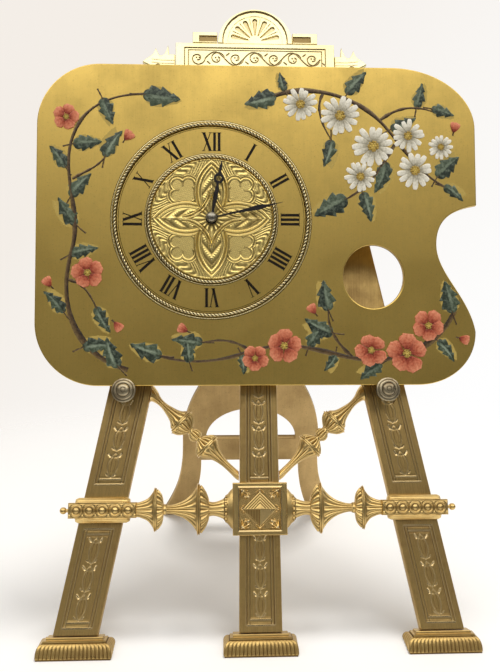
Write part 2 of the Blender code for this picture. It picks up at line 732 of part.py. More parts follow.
def cross_rail(parent, material):
    """The rail in one casting: a plaque block, two spindles, end blocks with bosses, and finials."""
    half = rail_stations()
    stations = [(-x, *rest) for x, *rest in reversed(half[1:])] + half[1:]
    sections = [[(x, -SEAT - forward, RAIL_HEIGHT + across) for across, forward in relief(*rest)]
                for x, *rest in stations]
    rail = shape("cross_rail", add_loft, sections)
    face = -SEAT - RAIL_BLOCK_DEPTH
    plaque = rectangle(-PLAQUE_HALF, PLAQUE_HALF, RAIL_HEIGHT - PLAQUE_HALF, RAIL_HEIGHT + PLAQUE_HALF)
    cut(rail, shape("plaque_recess", add_prism, plaque, face - OVERRUN, face + PLAQUE_DEEP))
    diamond = [(DIAMOND_HALF, face + PLAQUE_DEEP + OVERRUN), (DIAMOND_HALF, face + PLAQUE_DEEP / 2),
               (0.0, face + PLAQUE_DEEP - DIAMOND_HIGH)]
    diamond.insert(0, (0.0, face + PLAQUE_DEEP + OVERRUN))
    bosses = bmesh.new()
    for side in (-1, 1):
        for i in range(BOSS_COUNT):
            x = side * leg_centre(RAIL_HEIGHT) + (i - (BOSS_COUNT - 1) / 2) * BOSS_PITCH
            add_rod(bosses, BOSS_RADIUS, face - BOSS_HIGH, face + OVERRUN, x, RAIL_HEIGHT, TINY_STEPS + 1)
    join(rail, shape("diamond", add_turned, diamond, 4, z=RAIL_HEIGHT), solid("bosses", bosses),
         pegs(RAIL_HEIGHT, RAIL_DEPTH))
    return place(rail, material, parent)


def brace(name, side, parent, material):
    """A diagonal turned brace that ends against the leg and against the post."""
    leg_edge = leg_centre(BRACE_LEG_HEIGHT) - LEG_WIDTH / 2 - SEAT
    post_height = RAIL_HEIGHT + RAIL_BLOCK_HALF_TALL + BRACE_POST_RISE
    start = Vector((leg_edge, BRACE_LEG_HEIGHT))
    end = Vector((post_half(post_height) + SEAT, post_height))
    across_leg = Vector((-LEG_SLOPE, 1.0)).normalized()
    along = (end - start).normalized()
    across_brace = Vector((-along.y, along.x))
    if across_brace.y < 0:
        across_brace = -across_brace
    stations = [(0.0, BRACE_LEG_HALF, across_leg)]
    for place_share, wide_share in BRACE_SHARES:
        stations.append((place_share, BRACE_RIM * wide_share, across_brace))
    stations.append((1.0, BRACE_POST_HALF, Vector((-POST_SLOPE / 2, 1.0)).normalized()))
    sections = []
    for share, half, across in stations:
        middle = start.lerp(end, share)
        depth = BRACE_DEPTH + RAIL_ROUND_SHARE * half
        section = []
        for reach, forward in relief(half, depth, 0.0):
            point = middle + across * reach
            section.append((side * point.x, BRACE_BACK - forward, point.y))
        sections.append(section)
    return place(shape(name, add_loft, sections), material, parent)


def crest_panel(parent, material):
    """The crest's panel with its two pediment blocks, which leave a seat for the fan between them."""
    inner = FAN_RADIUS + SEAT
    top = CREST_HIGH + PEDIMENT_TALL
    outline = [(-CREST_HALF, CREST_LOW), (CREST_HALF, CREST_LOW), (CREST_HALF, CREST_HIGH),
               (PEDIMENT_HALF, CREST_HIGH), (PEDIMENT_HALF, top), (inner, top), (inner, CREST_HIGH),
               (-inner, CREST_HIGH), (-inner, top), (-PEDIMENT_HALF, top), (-PEDIMENT_HALF, CREST_HIGH),
               (-CREST_HALF, CREST_HIGH)]
    face = -SEAT - CREST_THICK
    panel = shape("crest_panel", add_prism, outline, face, -SEAT)
    recess = bmesh.new()
    add_prism(recess, rectangle(-CREST_HALF + PANEL_BORDER, CREST_HALF - PANEL_BORDER,
                                CREST_LOW + PANEL_BORDER, CREST_HIGH - PANEL_BORDER),
              face - OVERRUN, face + PANEL_DEEP)
    for side in (-1, 1):
        ends = sorted((side * (inner + RAIL_EDGE), side * (PEDIMENT_HALF - PEDIMENT_SLOT_SIDE)))
        low = CREST_HIGH + PEDIMENT_SLOT_LOW
        add_prism(recess, rectangle(*ends, low, low + PEDIMENT_SLOT_TALL),
                  face - OVERRUN, face + FAN_DEEP)
    cut(panel, solid("recesses", recess))
    return place(join(panel, pegs(CREST_PEG_HEIGHT, CREST_THICK / 2)), material, parent)


def crest_fan(parent, material):
    """The half-round fan on the crest, with a raised rim and sunk petals."""
    base = CREST_HIGH + SEAT
    face = -SEAT - CREST_THICK
    fan = shape("crest_fan", add_prism, arc(0.0, base, FAN_RADIUS, FAN_RADIUS, 0.0, 180.0, 20), face, -SEAT)
    field = arc(0.0, base + FAN_RIM / 2, FAN_RADIUS - FAN_RIM, FAN_RADIUS - FAN_RIM, 0.0, 180.0, 20)
    cut(fan, shape("field", add_prism, field, face - OVERRUN, face + FAN_DEEP))
    petals = bmesh.new()
    for i in range(FAN_PETALS):
        turn = math.radians(180.0 * (i + 0.5) / FAN_PETALS)
        out = Vector((math.cos(turn), math.sin(turn)))
        beside = Vector((-out.y, out.x))
        outline = []
        for reach_share, wide_share in FAN_PETAL_SHARES:
            reach = FAN_PETAL_NEAR + (FAN_PETAL_FAR - FAN_PETAL_NEAR) * reach_share
            point = out * reach + beside * FAN_PETAL_HALF * wide_share
            outline.append((point.x, base + FAN_RIM / 2 + point.y))
        add_prism(petals, outline, face - OVERRUN, face + FAN_DEEP + FAN_PETAL_DEEP)
    return place(cut(fan, solid("petals", petals)), material, parent)


def side_leaf(name, side, parent, material):
    """A leaf that points outwards from the end of the crest, with a drilled eye."""
    start = CREST_HALF + SEAT
    middle = (CREST_LOW + CREST_HIGH) / 2 + LEAF_RISE
    upper = [(side * (start + LEAF_LENGTH * x), middle + LEAF_HALF * z) for x, z in LEAF_SHARES]
    lower = [(x, 2 * middle - z) for x, z in reversed(upper)]
    leaf = shape(name, add_prism, upper + lower, -SEAT - LEAF_THICK, -SEAT)
    eye = shape("eye", add_rod, LEAF_EYE, -SEAT - LEAF_THICK - OVERRUN, OVERRUN,
                side * (start + LEAF_LENGTH * LEAF_EYE_SHARE), middle)
    return place(cut(leaf, eye), material, parent)


# Palette

def palette_outline():
    half = PALETTE_HALF_WIDTH
    tall = PALETTE_TALL
    corner = PALETTE_CORNER
    wide = PALETTE_WIDE_CORNER

    def at(shares):
        return (half * shares[0], tall * shares[1])

    points = arc(corner - half, corner, corner, corner, 270.0, 180.0)
    points += arc(corner - half, tall - corner, corner, corner, 180.0, 90.0)
    points += arc(half - wide, tall - corner, wide, corner, 90.0, 0.0)
    points.append(at(NOTCH_TIP_SHARES))
    for controls, end in ((NOTCH_UPPER_SHARES, NOTCH_IN_SHARES), (NOTCH_LOWER_SHARES, NOTCH_OUT_SHARES),
                          (NOTCH_FOOT_SHARES, NOTCH_END_SHARES)):
        points += curve(points[-1], at(controls[0]), at(controls[1]), at(end))
    return points


def palette(parent, material):
    plate = shape("palette", add_prism, palette_outline(), -PALETTE_THICK, 0.0)
    holes = bmesh.new()
    add_prism(holes, arc(THUMB_X, THUMB_Z, THUMB_HALF_WIDTH, THUMB_HALF_TALL, 0.0, 345.0, 23),
              -PALETTE_THICK - OVERRUN, OVERRUN)
    add_rod(holes, PIPE_RADIUS + RUN, -PALETTE_THICK - OVERRUN, OVERRUN, DIAL_X, DIAL_Z)
    for angle in CASE_SCREW_ANGLES:
        spot = Vector((DIAL_X, DIAL_Z)) + towards(angle, (FLANGE_RADIUS + CASE_RADIUS) / 2)
        add_rod(holes, CASE_SCREW_RADIUS + RUN, -CASE_SCREW_BITE - SEAT, OVERRUN, spot.x, spot.y, TINY_STEPS)
    return place(cut(plate, solid("holes", holes)), material, parent)


def stud(name, side, parent, material):
    """A domed stud whose collar spaces the palette from the leg and whose shank carries its edge."""
    lean = EASEL_LEAN - PALETTE_LEAN
    collar = -PALETTE_GAP + SEAT
    head = -PALETTE_GAP - PALETTE_THICK * math.cos(lean) - STUD_HEAD_RADIUS * math.sin(lean) - SEAT
    nut = LEG_THICK + SEAT + STUD_NUT_THICK + SEAT
    profile = [(STUD_HEAD_RADIUS * wide, head - STUD_HEAD_TALL * tall) for wide, tall in STUD_HEAD_SHARES]
    profile += [(STUD_SHANK_RADIUS, head), (STUD_SHANK_RADIUS, collar), (STUD_COLLAR_RADIUS, collar),
                (STUD_COLLAR_RADIUS, -SEAT), (STUD_SHANK_RADIUS, -SEAT), (STUD_SHANK_RADIUS, nut), (0.0, nut)]
    bm = bmesh.new()
    add_turned(bm, profile, SMALL_STEPS + 2)
    return place(solid(name, bm), material, parent, (stud_x(side), 0.0, STUD_HEIGHT))


def stud_nut(name, side, parent, material):
    nut = shape(name, add_band, circle(STUD_NUT_RADIUS, 6), circle(STUD_SHANK_RADIUS + RUN, 6),
                LEG_THICK + SEAT, LEG_THICK + SEAT + STUD_NUT_THICK)
    return place(nut, material, parent, (stud_x(side), 0.0, STUD_HEIGHT))


# Dial

def rope_ring(name, radius, steps, parent, material):
    middle = -PALETTE_THICK - SEAT - RING_WIRE_RADIUS
    profile = [(radius + RING_WIRE_RADIUS * math.cos(a), middle + RING_WIRE_RADIUS * math.sin(a))
               for a in (2 * math.pi * i / WIRE_SIDES for i in range(WIRE_SIDES))]
    return place(shape(name, add_turned, profile, steps), material, parent)


def vesica(near, far, half, steps):
    """A pointed oval standing on +Z, from its near to its far point."""
    reach = (far - near) / 2
    radius = (reach * reach + half * half) / (2 * half)
    sweep = math.degrees(math.asin(reach / radius))
    middle = (near + far) / 2
    right = arc(half - radius, middle, radius, radius, -sweep, sweep, steps)
    left = arc(radius - half, middle, radius, radius, 180.0 - sweep, 180.0 + sweep, steps)
    return right[:-1] + left[:-1]


def dial_rosette(parent, material):
    """A pressed gilt disc with four pointed arches in relief."""
    back = -PALETTE_THICK - SEAT
    face = back - ROSETTE_THICK
    disc = shape("dial_rosette", add_band, circle(ROSETTE_RADIUS, ROUND_STEPS),
                 circle(PIPE_RADIUS + RUN, ROUND_STEPS), face, back)
    outer = vesica(ARCH_NEAR, ARCH_FAR, ARCH_HALF, 7)
    inner = vesica(ARCH_NEAR + ARCH_BAND, ARCH_FAR - ARCH_BAND, ARCH_HALF - ARCH_BAND, 7)
    arches = []
    for quarter in range(4):
        c = round(math.cos(quarter * math.pi / 2))
        s = round(math.sin(quarter * math.pi / 2))
        turned = [[(c * x - s * z, s * x + c * z) for x, z in line] for line in (outer, inner)]
        arches.append(shape("arch", add_band, *turned, face - ROSETTE_RELIEF, face + ROSETTE_THICK / 2))
    join(disc, *arches)
    return place(disc, material, parent)


def hour_hand(parent, material):
    back = -HAND_FLOOR
    front = back - HAND_THICK
    stem = [(-HAND_STEM, 0.0), (HAND_STEM, 0.0), (HAND_STEM, HOUR_EYE_AT), (0.0, HOUR_HAND_LENGTH),
            (-HAND_STEM, HOUR_EYE_AT)]
    hand = shape("hour_hand", add_prism, circle(HAND_HUB, 16), front, back)
    eye = shape("eye", add_prism, circle(HOUR_EYE_RADIUS, 14, 0.0, HOUR_EYE_AT), front, back)
    join(hand, shape("stem", add_prism, stem, front, back), eye)
    bores = bmesh.new()
    add_rod(bores, ARBOR_RADIUS + RUN, front - OVERRUN, back + OVERRUN)
    add_rod(bores, HOUR_EYE_BORE, front - OVERRUN, back + OVERRUN, 0.0, HOUR_EYE_AT)
    return place(cut(hand, solid("bores", bores)), material, parent, turn=REST_HOUR_TURN)


def minute_hand(parent, material):
    back = -HAND_FLOOR - HAND_STEP
    front = back - HAND_THICK
    blade = [(-HAND_STEM, 0.0), (HAND_STEM, 0.0), (HAND_STEM, MINUTE_SWELL_AT * 0.6),
             (MINUTE_SWELL, MINUTE_SWELL_AT), (HAND_STEM * 0.6, MINUTE_SWELL_AT * 1.2),
             (0.0, MINUTE_HAND_LENGTH), (-HAND_STEM * 0.6, MINUTE_SWELL_AT * 1.2),
             (-MINUTE_SWELL, MINUTE_SWELL_AT), (-HAND_STEM, MINUTE_SWELL_AT * 0.6)]
    hand = shape("minute_hand", add_prism, circle(HAND_HUB * 0.85, 16), front, back)
    join(hand, shape("blade", add_prism, blade, front, back))
    bore = shape("bore", add_rod, ARBOR_RADIUS + RUN, front - OVERRUN, back + OVERRUN)
    return place(cut(hand, bore), material, parent, turn=MINUTE_TURN)


def hand_collet(parent, material):
    """The domed cap that holds the minute hand on the centre arbor."""
    back = -HAND_FLOOR - HAND_STEP - HAND_THICK - SEAT
    profile = [(COLLET_RADIUS * wide, back - COLLET_TALL * tall) for wide, tall in COLLET_SHARES]
    return place(shape("hand_collet", add_turned, profile, 16), material, parent)


# Movement case

def movement_case(parent, material):
    """The drum's wall with the flange that screws to the palette's back."""
    inner = CASE_RADIUS - CASE_WALL
    profile = [(inner, SEAT), (FLANGE_RADIUS, SEAT), (FLANGE_RADIUS, SEAT + FLANGE_THICK),
               (CASE_RADIUS, SEAT + FLANGE_THICK), (CASE_RADIUS, CASE_DEPTH), (inner, CASE_DEPTH)]
    case = shape("movement_case", add_turned, profile, ROUND_STEPS)
    holes = bmesh.new()
    for angle in CASE_SCREW_ANGLES:
        spot = towards(angle, (FLANGE_RADIUS + CASE_RADIUS) / 2)
        add_rod(holes, CASE_SCREW_RADIUS + RUN, SEAT - OVERRUN, SEAT + FLANGE_THICK + OVERRUN,
                spot.x, spot.y, TINY_STEPS)
    return place(cut(case, solid("holes", holes)), material, parent)


def screw(name, tip, radius, under, head, head_tall, spot, parent, material):
    """A screw with its shank's tip and the underside of its head at given depths."""
    profile = [(0.0, tip), (radius, tip), (radius, under), (head, under), (head, under + head_tall / 2),
               (head / 2, under + head_tall), (0.0, under + head_tall)]
    return place(shape(name, add_turned, profile, TINY_STEPS), material, parent, (spot[0], 0.0, spot[1]))


def case_screw(name, angle, parent, material):
    spot = towards(angle, (FLANGE_RADIUS + CASE_RADIUS) / 2)
    return screw(name, -CASE_SCREW_BITE, CASE_SCREW_RADIUS, SEAT + FLANGE_THICK + SEAT, CASE_SCREW_HEAD,
                 CASE_SCREW_HEAD_TALL, spot, parent, material)


def back_cover(parent, material):
    """The cover that closes the drum, with holes for the winding key and the hand-setting knob."""
    front = CASE_DEPTH + SEAT
    cover = shape("back_cover", add_prism, circle(CASE_RADIUS, ROUND_STEPS), front, COVER_BACK)
    holes = bmesh.new()
    add_rod(holes, KEY_SHANK_RADIUS + RUN, front - OVERRUN, COVER_BACK + OVERRUN, *BARREL_AT)
    add_rod(holes, ARBOR_RADIUS + RUN, front - OVERRUN, COVER_BACK + OVERRUN)
    return place(cut(cover, solid("holes", holes)), material, parent)


# Plates

def plate(name, depth, bores):
    """A movement plate drilled for the shafts and for the pillar screws."""
    disc = shape(name, add_prism, circle(PLATE_RADIUS, ROUND_STEPS), depth, depth + PLATE_THICK)
    holes = bmesh.new()
    for radius, spot in bores:
        add_rod(holes, radius + RUN, depth - OVERRUN, depth + PLATE_THICK + OVERRUN, spot.x, spot.y,
                TINY_STEPS)
    return cut(disc, solid("holes", holes))


def shaft_bores():
    """Bore and place of each shaft that runs in both plates."""
    pivots = [(PIVOT_RADIUS, spot) for spot in (THIRD_AT, FOURTH_AT, ESCAPE_AT, LEVER_AT, BALANCE_AT)]
    return [(ARBOR_RADIUS, CENTRE_AT), (BARREL_ARBOR_RADIUS, BARREL_AT)] + pivots


def pillar_bores():
    return [(PLATE_SCREW_RADIUS, towards(angle, PILLAR_RING)) for angle in PILLAR_ANGLES]


def front_plate(parent, material):
    """The plate behind the motion work, with the movement's pillars riveted into it."""
    bores = shaft_bores() + [(STAFF_RADIUS, MINUTE_AT)]
    disc = plate("front_plate", FRONT_PLATE_DEPTH, bores)
    low = FRONT_PLATE_DEPTH + PLATE_THICK / 2
    high = BACK_PLATE_DEPTH - SEAT
    profile = [(PILLAR_RADIUS * wide, low + (high - low) * along) for wide, along in PILLAR_SHARES]
    bm = bmesh.new()
    for angle in PILLAR_ANGLES:
        spot = towards(angle, PILLAR_RING)
        add_turned(bm, profile, TINY_STEPS, spot.x, spot.y)
    return place(join(disc, solid("pillars", bm)), material, parent)


def back_plate(parent, material):
    bores = shaft_bores() + pillar_bores() + [(CLICK_PIN_RADIUS, CLICK_AT)]
    return place(plate("back_plate", BACK_PLATE_DEPTH, bores), material, parent)


def plate_screw(name, angle, parent, material):
    return screw(name, BACK_PLATE_DEPTH, PLATE_SCREW_RADIUS, BACK_PLATE_DEPTH + PLATE_THICK + SEAT,
                 PLATE_SCREW_HEAD, PLATE_SCREW_HEAD_TALL, towards(angle, PILLAR_RING), parent, material)


# Motion work

def at_depth(spot):
    """The place of a shaft whose depths are already in its mesh."""
    return (spot.x, 0.0, spot.y)


def centre_arbor(parent, material):
    """The shaft that carries the minute hand, with the cannon pinion on it."""
    front = -HAND_FLOOR - HAND_STEP - HAND_THICK
    arbor = shape("centre_arbor", add_rod, ARBOR_RADIUS, front, COVER_BACK + SEAT)
    pinion = gear(CANNON_LEAVES, CANNON_MODULE)
    face = MINUTE_WHEEL_DEPTH + MOTION_WHEEL_THICK + SEAT / 2
    join(arbor, shape("cannon", add_prism, pinion, MINUTE_WHEEL_DEPTH - SEAT / 2, face))
    return place(arbor, material, parent)


def hour_wheel(parent, material):
    """The wheel under the palette whose pipe carries the hour hand."""
    rim = HOUR_WHEEL_DEPTH + MOTION_WHEEL_THICK
    wheel = shape("hour_wheel", add_prism, gear(HOUR_TEETH, HOUR_MODULE, pointed=True,
                                                phase=meshing(180.0, HOUR_TEETH)), HOUR_WHEEL_DEPTH, rim)
    pipe = shape("pipe", add_rod, PIPE_RADIUS, -HAND_FLOOR + SEAT, rim - MOTION_WHEEL_THICK / 3, steps=16)
    bore = shape("bore", add_rod, ARBOR_RADIUS + RUN, -HAND_FLOOR - OVERRUN, rim + OVERRUN, steps=16)
    return place(cut(join(wheel, pipe), bore), material, parent)


def minute_wheel(parent, material):
    """The wheel and pinion that gear the minute arbor down to the hour wheel."""
    rim = MINUTE_WHEEL_DEPTH + MOTION_WHEEL_THICK
    wheel = shape("minute_wheel", add_prism, gear(MINUTE_TEETH, CANNON_MODULE, pointed=True,
                                                  phase=meshing(0.0, MINUTE_TEETH)), MINUTE_WHEEL_DEPTH, rim)
    pinion = gear(MINUTE_LEAVES, HOUR_MODULE, math.pi)
    leaves = shape("leaves", add_prism, pinion, HOUR_WHEEL_DEPTH - SEAT / 2, rim - MOTION_WHEEL_THICK / 2)
    shaft = shape("shaft", add_rod, STAFF_RADIUS, HOUR_WHEEL_DEPTH - SEAT,
                  FRONT_PLATE_DEPTH + PLATE_THICK - RUN, steps=TINY_STEPS)
    return place(join(wheel, leaves, shaft), material, parent, at_depth(MINUTE_AT))


def hand_set_knob(parent, material):
    """The knurled knob on the back of the centre arbor."""
    low = COVER_BACK + 2 * SEAT
    shelf = KNOB_REACH - KNOB_TALL
    knob = shape("hand_set_knob", add_rod, KNOB_NECK, low, shelf + KNOB_TALL / 2)
    grips = []
    for i in range(KNOB_GRIPS * 2):
        a = math.pi * i / KNOB_GRIPS
        radius = KNOB_RADIUS * (1.0 if i % 2 else KNOB_GRIP_SHARE)
        grips.append((radius * math.cos(a), radius * math.sin(a)))
    join(knob, shape("grip", add_prism, grips, shelf, KNOB_REACH))
    return place(knob, material, parent)


# Going train

def arbor_profile(front_pivot, back_pivot):
    """A plain shaft between the plates with thinner pivots in them."""
    return [(0.0, front_pivot), (PIVOT_RADIUS, front_pivot), (PIVOT_RADIUS, TRAIN_FRONT),
            (STAFF_RADIUS, TRAIN_FRONT), (STAFF_RADIUS, TRAIN_BACK), (PIVOT_RADIUS, TRAIN_BACK),
            (PIVOT_RADIUS, back_pivot), (0.0, back_pivot)]


def shaft(name):
    front = FRONT_PLATE_DEPTH + PLATE_THICK / 3
    back = BACK_PLATE_DEPTH + PLATE_THICK * 2 / 3
    return shape(name, add_turned, arbor_profile(front, back), TINY_STEPS)


def train_wheel(name, wheel, wheel_depth, pinion, pinion_depth, spot, parent, material):
    """A wheel and a pinion fixed on one shaft."""
    body = shaft(name)
    rim = shape("rim", add_prism, wheel, wheel_depth, wheel_depth + WHEEL_THICK)
    face = pinion_depth + WHEEL_THICK / 2
    leaves = shape("leaves", add_prism, pinion, face - PINION_FACE / 2, face + PINION_FACE / 2)
    return place(join(body, rim, leaves), material, parent, at_depth(spot))


def centre_wheel(parent, material):
    """The centre wheel and its pinion on a sleeve, which grips the centre arbor by friction."""
    phase = math.radians(THIRD_ANGLE)
    wheel = shape("centre_wheel", add_prism, gear(CENTRE_TEETH, CENTRE_MODULE, phase, pointed=True),
                  CENTRE_WHEEL_DEPTH, CENTRE_WHEEL_DEPTH + WHEEL_THICK)
    root = GREAT_MODULE * (CENTRE_LEAVES / 2 - 1.1)
    leaves = gear(CENTRE_LEAVES, GREAT_MODULE, meshing(BARREL_ANGLE + 180.0, CENTRE_LEAVES))
    pinion = shape("leaves", add_prism, leaves, TRAIN_FRONT, TRAIN_FRONT + PINION_FACE)
    sleeve = shape("sleeve", add_rod, root, TRAIN_FRONT + PINION_FACE / 2, TRAIN_BACK, steps=12)
    bore = shape("bore", add_rod, ARBOR_RADIUS + RUN, TRAIN_FRONT - OVERRUN, TRAIN_BACK + OVERRUN, steps=12)
    return place(cut(join(wheel, pinion, sleeve), bore), material, parent)


def escape_outline():
    points = []
    for tooth in range(ESCAPE_TEETH):
        for share, reach in ESCAPE_TOOTH_SHARES:
            a = 2 * math.pi * (tooth + share) / ESCAPE_TEETH
            points.append((ESCAPE_RADIUS * reach * math.cos(a), ESCAPE_RADIUS * reach * math.sin(a)))
    return points


def pallet_lever(parent, material):
    """The lever with two pallets beside the escape wheel and a fork towards the balance."""
    body = shaft("pallet_lever")
    towards_wheel = towards(LEVER_ANGLE + 180.0, 1.0)
    towards_fork = towards(BALANCE_ANGLE, 1.0)
    arm = Vector((-towards_wheel.y, towards_wheel.x))
    bm = bmesh.new()
    ends = [arm * PALLET_SPAN / 2, arm * -PALLET_SPAN / 2]
    tips = [end + towards_wheel * LEVER_HALF * 2 for end in ends]
    outline = [ends[0] - towards_wheel * LEVER_HALF, tips[0], tips[0] - arm * LEVER_HALF,
               towards_wheel * LEVER_HALF, tips[1] + arm * LEVER_HALF, tips[1],
               ends[1] - towards_wheel * LEVER_HALF]
    add_prism(bm, [tuple(p) for p in outline], ESCAPE_DEPTH, ESCAPE_DEPTH + LEVER_THICK)
    anchor = solid("anchor", bm)
    side = Vector((-towards_fork.y, towards_fork.x)) * LEVER_HALF
    reach = BALANCE_REACH * 0.68
    fork = [-side, side, side * 0.7 + towards_fork * reach * 0.8, side * 1.6 + towards_fork * reach,
            side * 0.5 + towards_fork * reach, towards_fork * reach * 0.88,
            side * -0.5 + towards_fork * reach, side * -1.6 + towards_fork * reach,
            side * -0.7 + towards_fork * reach * 0.8]
    stem = shape("fork", add_prism, [tuple(p) for p in fork], ESCAPE_DEPTH, ESCAPE_DEPTH + LEVER_THICK)
    return place(join(body, anchor, stem), material, parent, at_depth(LEVER_AT))


def balance_wheel(parent, material):
    """The balance: a rim and one cross arm on a staff with a roller."""
    body = shaft("balance_wheel")
    back = BALANCE_DEPTH + BALANCE_THICK
    rim = shape("rim", add_band, circle(BALANCE_RADIUS, 20), circle(BALANCE_RADIUS - BALANCE_RIM, 20),
                BALANCE_DEPTH, back)
    arm_reach = BALANCE_RADIUS - BALANCE_RIM / 2
    arm = shape("arm", add_prism, rectangle(-arm_reach, arm_reach, -BALANCE_ARM_HALF, BALANCE_ARM_HALF),
                BALANCE_DEPTH + BALANCE_THICK / 4, back - BALANCE_THICK / 4)
    roller = shape("roller", add_rod, STAFF_RADIUS * 2, ESCAPE_DEPTH + LEVER_THICK + RUN,
                   BALANCE_DEPTH - RUN, steps=12)
    return place(join(body, rim, arm, roller), material, parent, at_depth(BALANCE_AT))


def hairspring(parent, material):
    spring = shape("hairspring", add_spiral, HAIRSPRING_INNER, HAIRSPRING_OUTER, HAIRSPRING_TURNS,
                   HAIRSPRING_THICK, HAIRSPRING_DEPTH, HAIRSPRING_DEPTH + HAIRSPRING_TALL, 10)
    return place(spring, material, parent, at_depth(BALANCE_AT))


# Barrel and winding

def barrel(parent, material):
    """The great wheel with the spring's drum, open at the back for its cap."""
    rim_back = GREAT_WHEEL_DEPTH + BARREL_FLOOR
    wheel = shape("barrel", add_prism, gear(GREAT_TEETH, GREAT_MODULE, math.radians(BARREL_ANGLE + 180.0),
                                            pointed=True), GREAT_WHEEL_DEPTH, rim_back)
    wall = shape("wall", add_band, circle(BARREL_DRUM_RADIUS, ROUND_STEPS),
                 circle(BARREL_DRUM_RADIUS - BARREL_WALL, ROUND_STEPS), rim_back - BARREL_FLOOR / 2,
                 rim_back + BARREL_HOLLOW)
    bore = shape("bore", add_rod, BARREL_ARBOR_RADIUS + RUN, GREAT_WHEEL_DEPTH - OVERRUN,
                 rim_back + OVERRUN, steps=12)
    return place(cut(join(wheel, wall), bore), material, parent, at_depth(BARREL_AT))


def barrel_cap(parent, material):
    low = GREAT_WHEEL_DEPTH + BARREL_FLOOR + BARREL_HOLLOW + SEAT
    cap = shape("barrel_cap", add_band, circle(BARREL_DRUM_RADIUS, 20), circle(BARREL_ARBOR_RADIUS + RUN, 20),
                low, low + BARREL_CAP_THICK)
    return place(cap, material, parent, at_depth(BARREL_AT))


def mainspring(parent, material):
    low = GREAT_WHEEL_DEPTH + BARREL_FLOOR + SEAT
    high = GREAT_WHEEL_DEPTH + BARREL_FLOOR + BARREL_HOLLOW - SEAT
    spring = shape("mainspring", add_spiral, MAINSPRING_INNER, MAINSPRING_OUTER, MAINSPRING_TURNS,
                   MAINSPRING_THICK, low, high, 12)
    return place(spring, material, parent, at_depth(BARREL_AT))


def barrel_arbor(parent, material):
    """The winding shaft, which ends behind the ratchet in the socket of the key."""
    front = FRONT_PLATE_DEPTH + PLATE_THICK / 3
    shaft_rod = shape("barrel_arbor", add_rod, BARREL_ARBOR_RADIUS, front, COVER_BACK, steps=12)
    return place(shaft_rod, material, parent, at_depth(BARREL_AT))


def ratchet_wheel(parent, material):
    points = []
    for tooth in range(RATCHET_TEETH):
        for share, reach in RATCHET_TOOTH_SHARES:
            a = 2 * math.pi * (tooth + share) / RATCHET_TEETH
            points.append((RATCHET_RADIUS * reach * math.cos(a), RATCHET_RADIUS * reach * math.sin(a)))
    bore = circle(BARREL_ARBOR_RADIUS + SEAT, RATCHET_TEETH * 2)
    depth = RATCHET_DEPTH + SEAT
    wheel = shape("ratchet_wheel", add_band, points, bore, depth, depth + RATCHET_THICK)
    return place(wheel, material, parent, at_depth(BARREL_AT))


def click(parent, material):
    """The pawl beside the ratchet, on a pivot in the back plate."""
    depth = RATCHET_DEPTH + SEAT
    inward = towards(CLICK_ANGLE + 180.0, 1.0)
    beside = Vector((-inward.y, inward.x))
    outline = [inward * -CLICK_HALF + beside * CLICK_HALF, inward * -CLICK_HALF - beside * CLICK_HALF,
               inward * CLICK_LENGTH * 0.6 - beside * CLICK_HALF, inward * (CLICK_LENGTH - 2 * RUN),
               inward * CLICK_LENGTH * 0.6 + beside * CLICK_HALF]
    pawl = shape("click", add_prism, [tuple(p) for p in outline], depth, depth + RATCHET_THICK)
    pin = shape("pin", add_rod, CLICK_PIN_RADIUS, BACK_PLATE_DEPTH + PLATE_THICK / 3,
                depth + RATCHET_THICK / 2, steps=TINY_STEPS)
    return place(join(pawl, pin), material, parent, at_depth(CLICK_AT))


def click_spring(parent, material):
    """A bent strip on the back plate that presses the click into the ratchet."""
    depth = RATCHET_DEPTH + SEAT
    inward = towards(CLICK_ANGLE + 180.0, 1.0)
    beside = Vector((-inward.y, inward.x))
    near = beside * -(CLICK_HALF + 2 * RUN)
    thick = beside * -2 * RUN
    start = inward * CLICK_LENGTH * 0.45
    end = inward * -CLICK_LENGTH * 0.8
    foot_out = beside * -CLICK_HALF * 2
    outline = [start + near, end + near, end + near + foot_out, end + near + foot_out - inward * -CLICK_HALF,
               end + near + thick - inward * -CLICK_HALF, start + near + thick]
    spring = shape("click_spring", add_prism, [tuple(p) for p in outline], depth, depth + RATCHET_THICK)
    return place(spring, material, parent, at_depth(CLICK_AT))


def winding_key(parent, material):
    """The butterfly key on the winding shaft."""
    low = COVER_BACK + SEAT
    wing_low = KEY_REACH - KEY_WING_TALL
    key = shape("winding_key", add_rod, KEY_SHANK_RADIUS, low, wing_low + KEY_WING_TALL / 3, steps=12)
    bm = bmesh.new()
    sections = []
    for x_share, tall_share in KEY_WING_SHARES:
        x = KEY_WING_SPAN * x_share
        middle = KEY_REACH - KEY_WING_TALL / 2
        half = KEY_WING_TALL / 2 * tall_share
        sections.append([(x, middle - half, -KEY_WING_HALF), (x, middle + half, -KEY_WING_HALF),
                         (x, middle + half, KEY_WING_HALF), (x, middle - half, KEY_WING_HALF)])
    add_loft(bm, sections)
    return place(join(key, solid("wings", bm)), material, parent, at_depth(BARREL_AT))


# Strut and hinge

def strut_outline():
    """Half of the strut from the knuckle to the foot, as (x, distance below the hinge)."""
    def at(shares):
        return (STRUT_HALF * shares[0], STRUT_LENGTH * shares[1])

    outer = [(KNUCKLE_HALF, 0.0), (KNUCKLE_HALF, LUG_RADIUS + 2 * SEAT)]
    outer += [at(shares) for shares in STRUT_TONGUE_SHARES]
    outer += curve(outer[-1], *(at(shares) for shares in STRUT_SHOULDER_SHARES))
    outer += curve(outer[-1], *(at(shares) for shares in STRUT_SHANK_SHARES))
    start = at(STRUT_INNER_SHARES[0])
    inner = [start] + curve(start, *(at(shares) for shares in STRUT_INNER_SHARES[1:]))
    inner[0] = (start[0], STRUT_LENGTH - STRUT_BAR_LOW)
    return outer + inner[::-1]


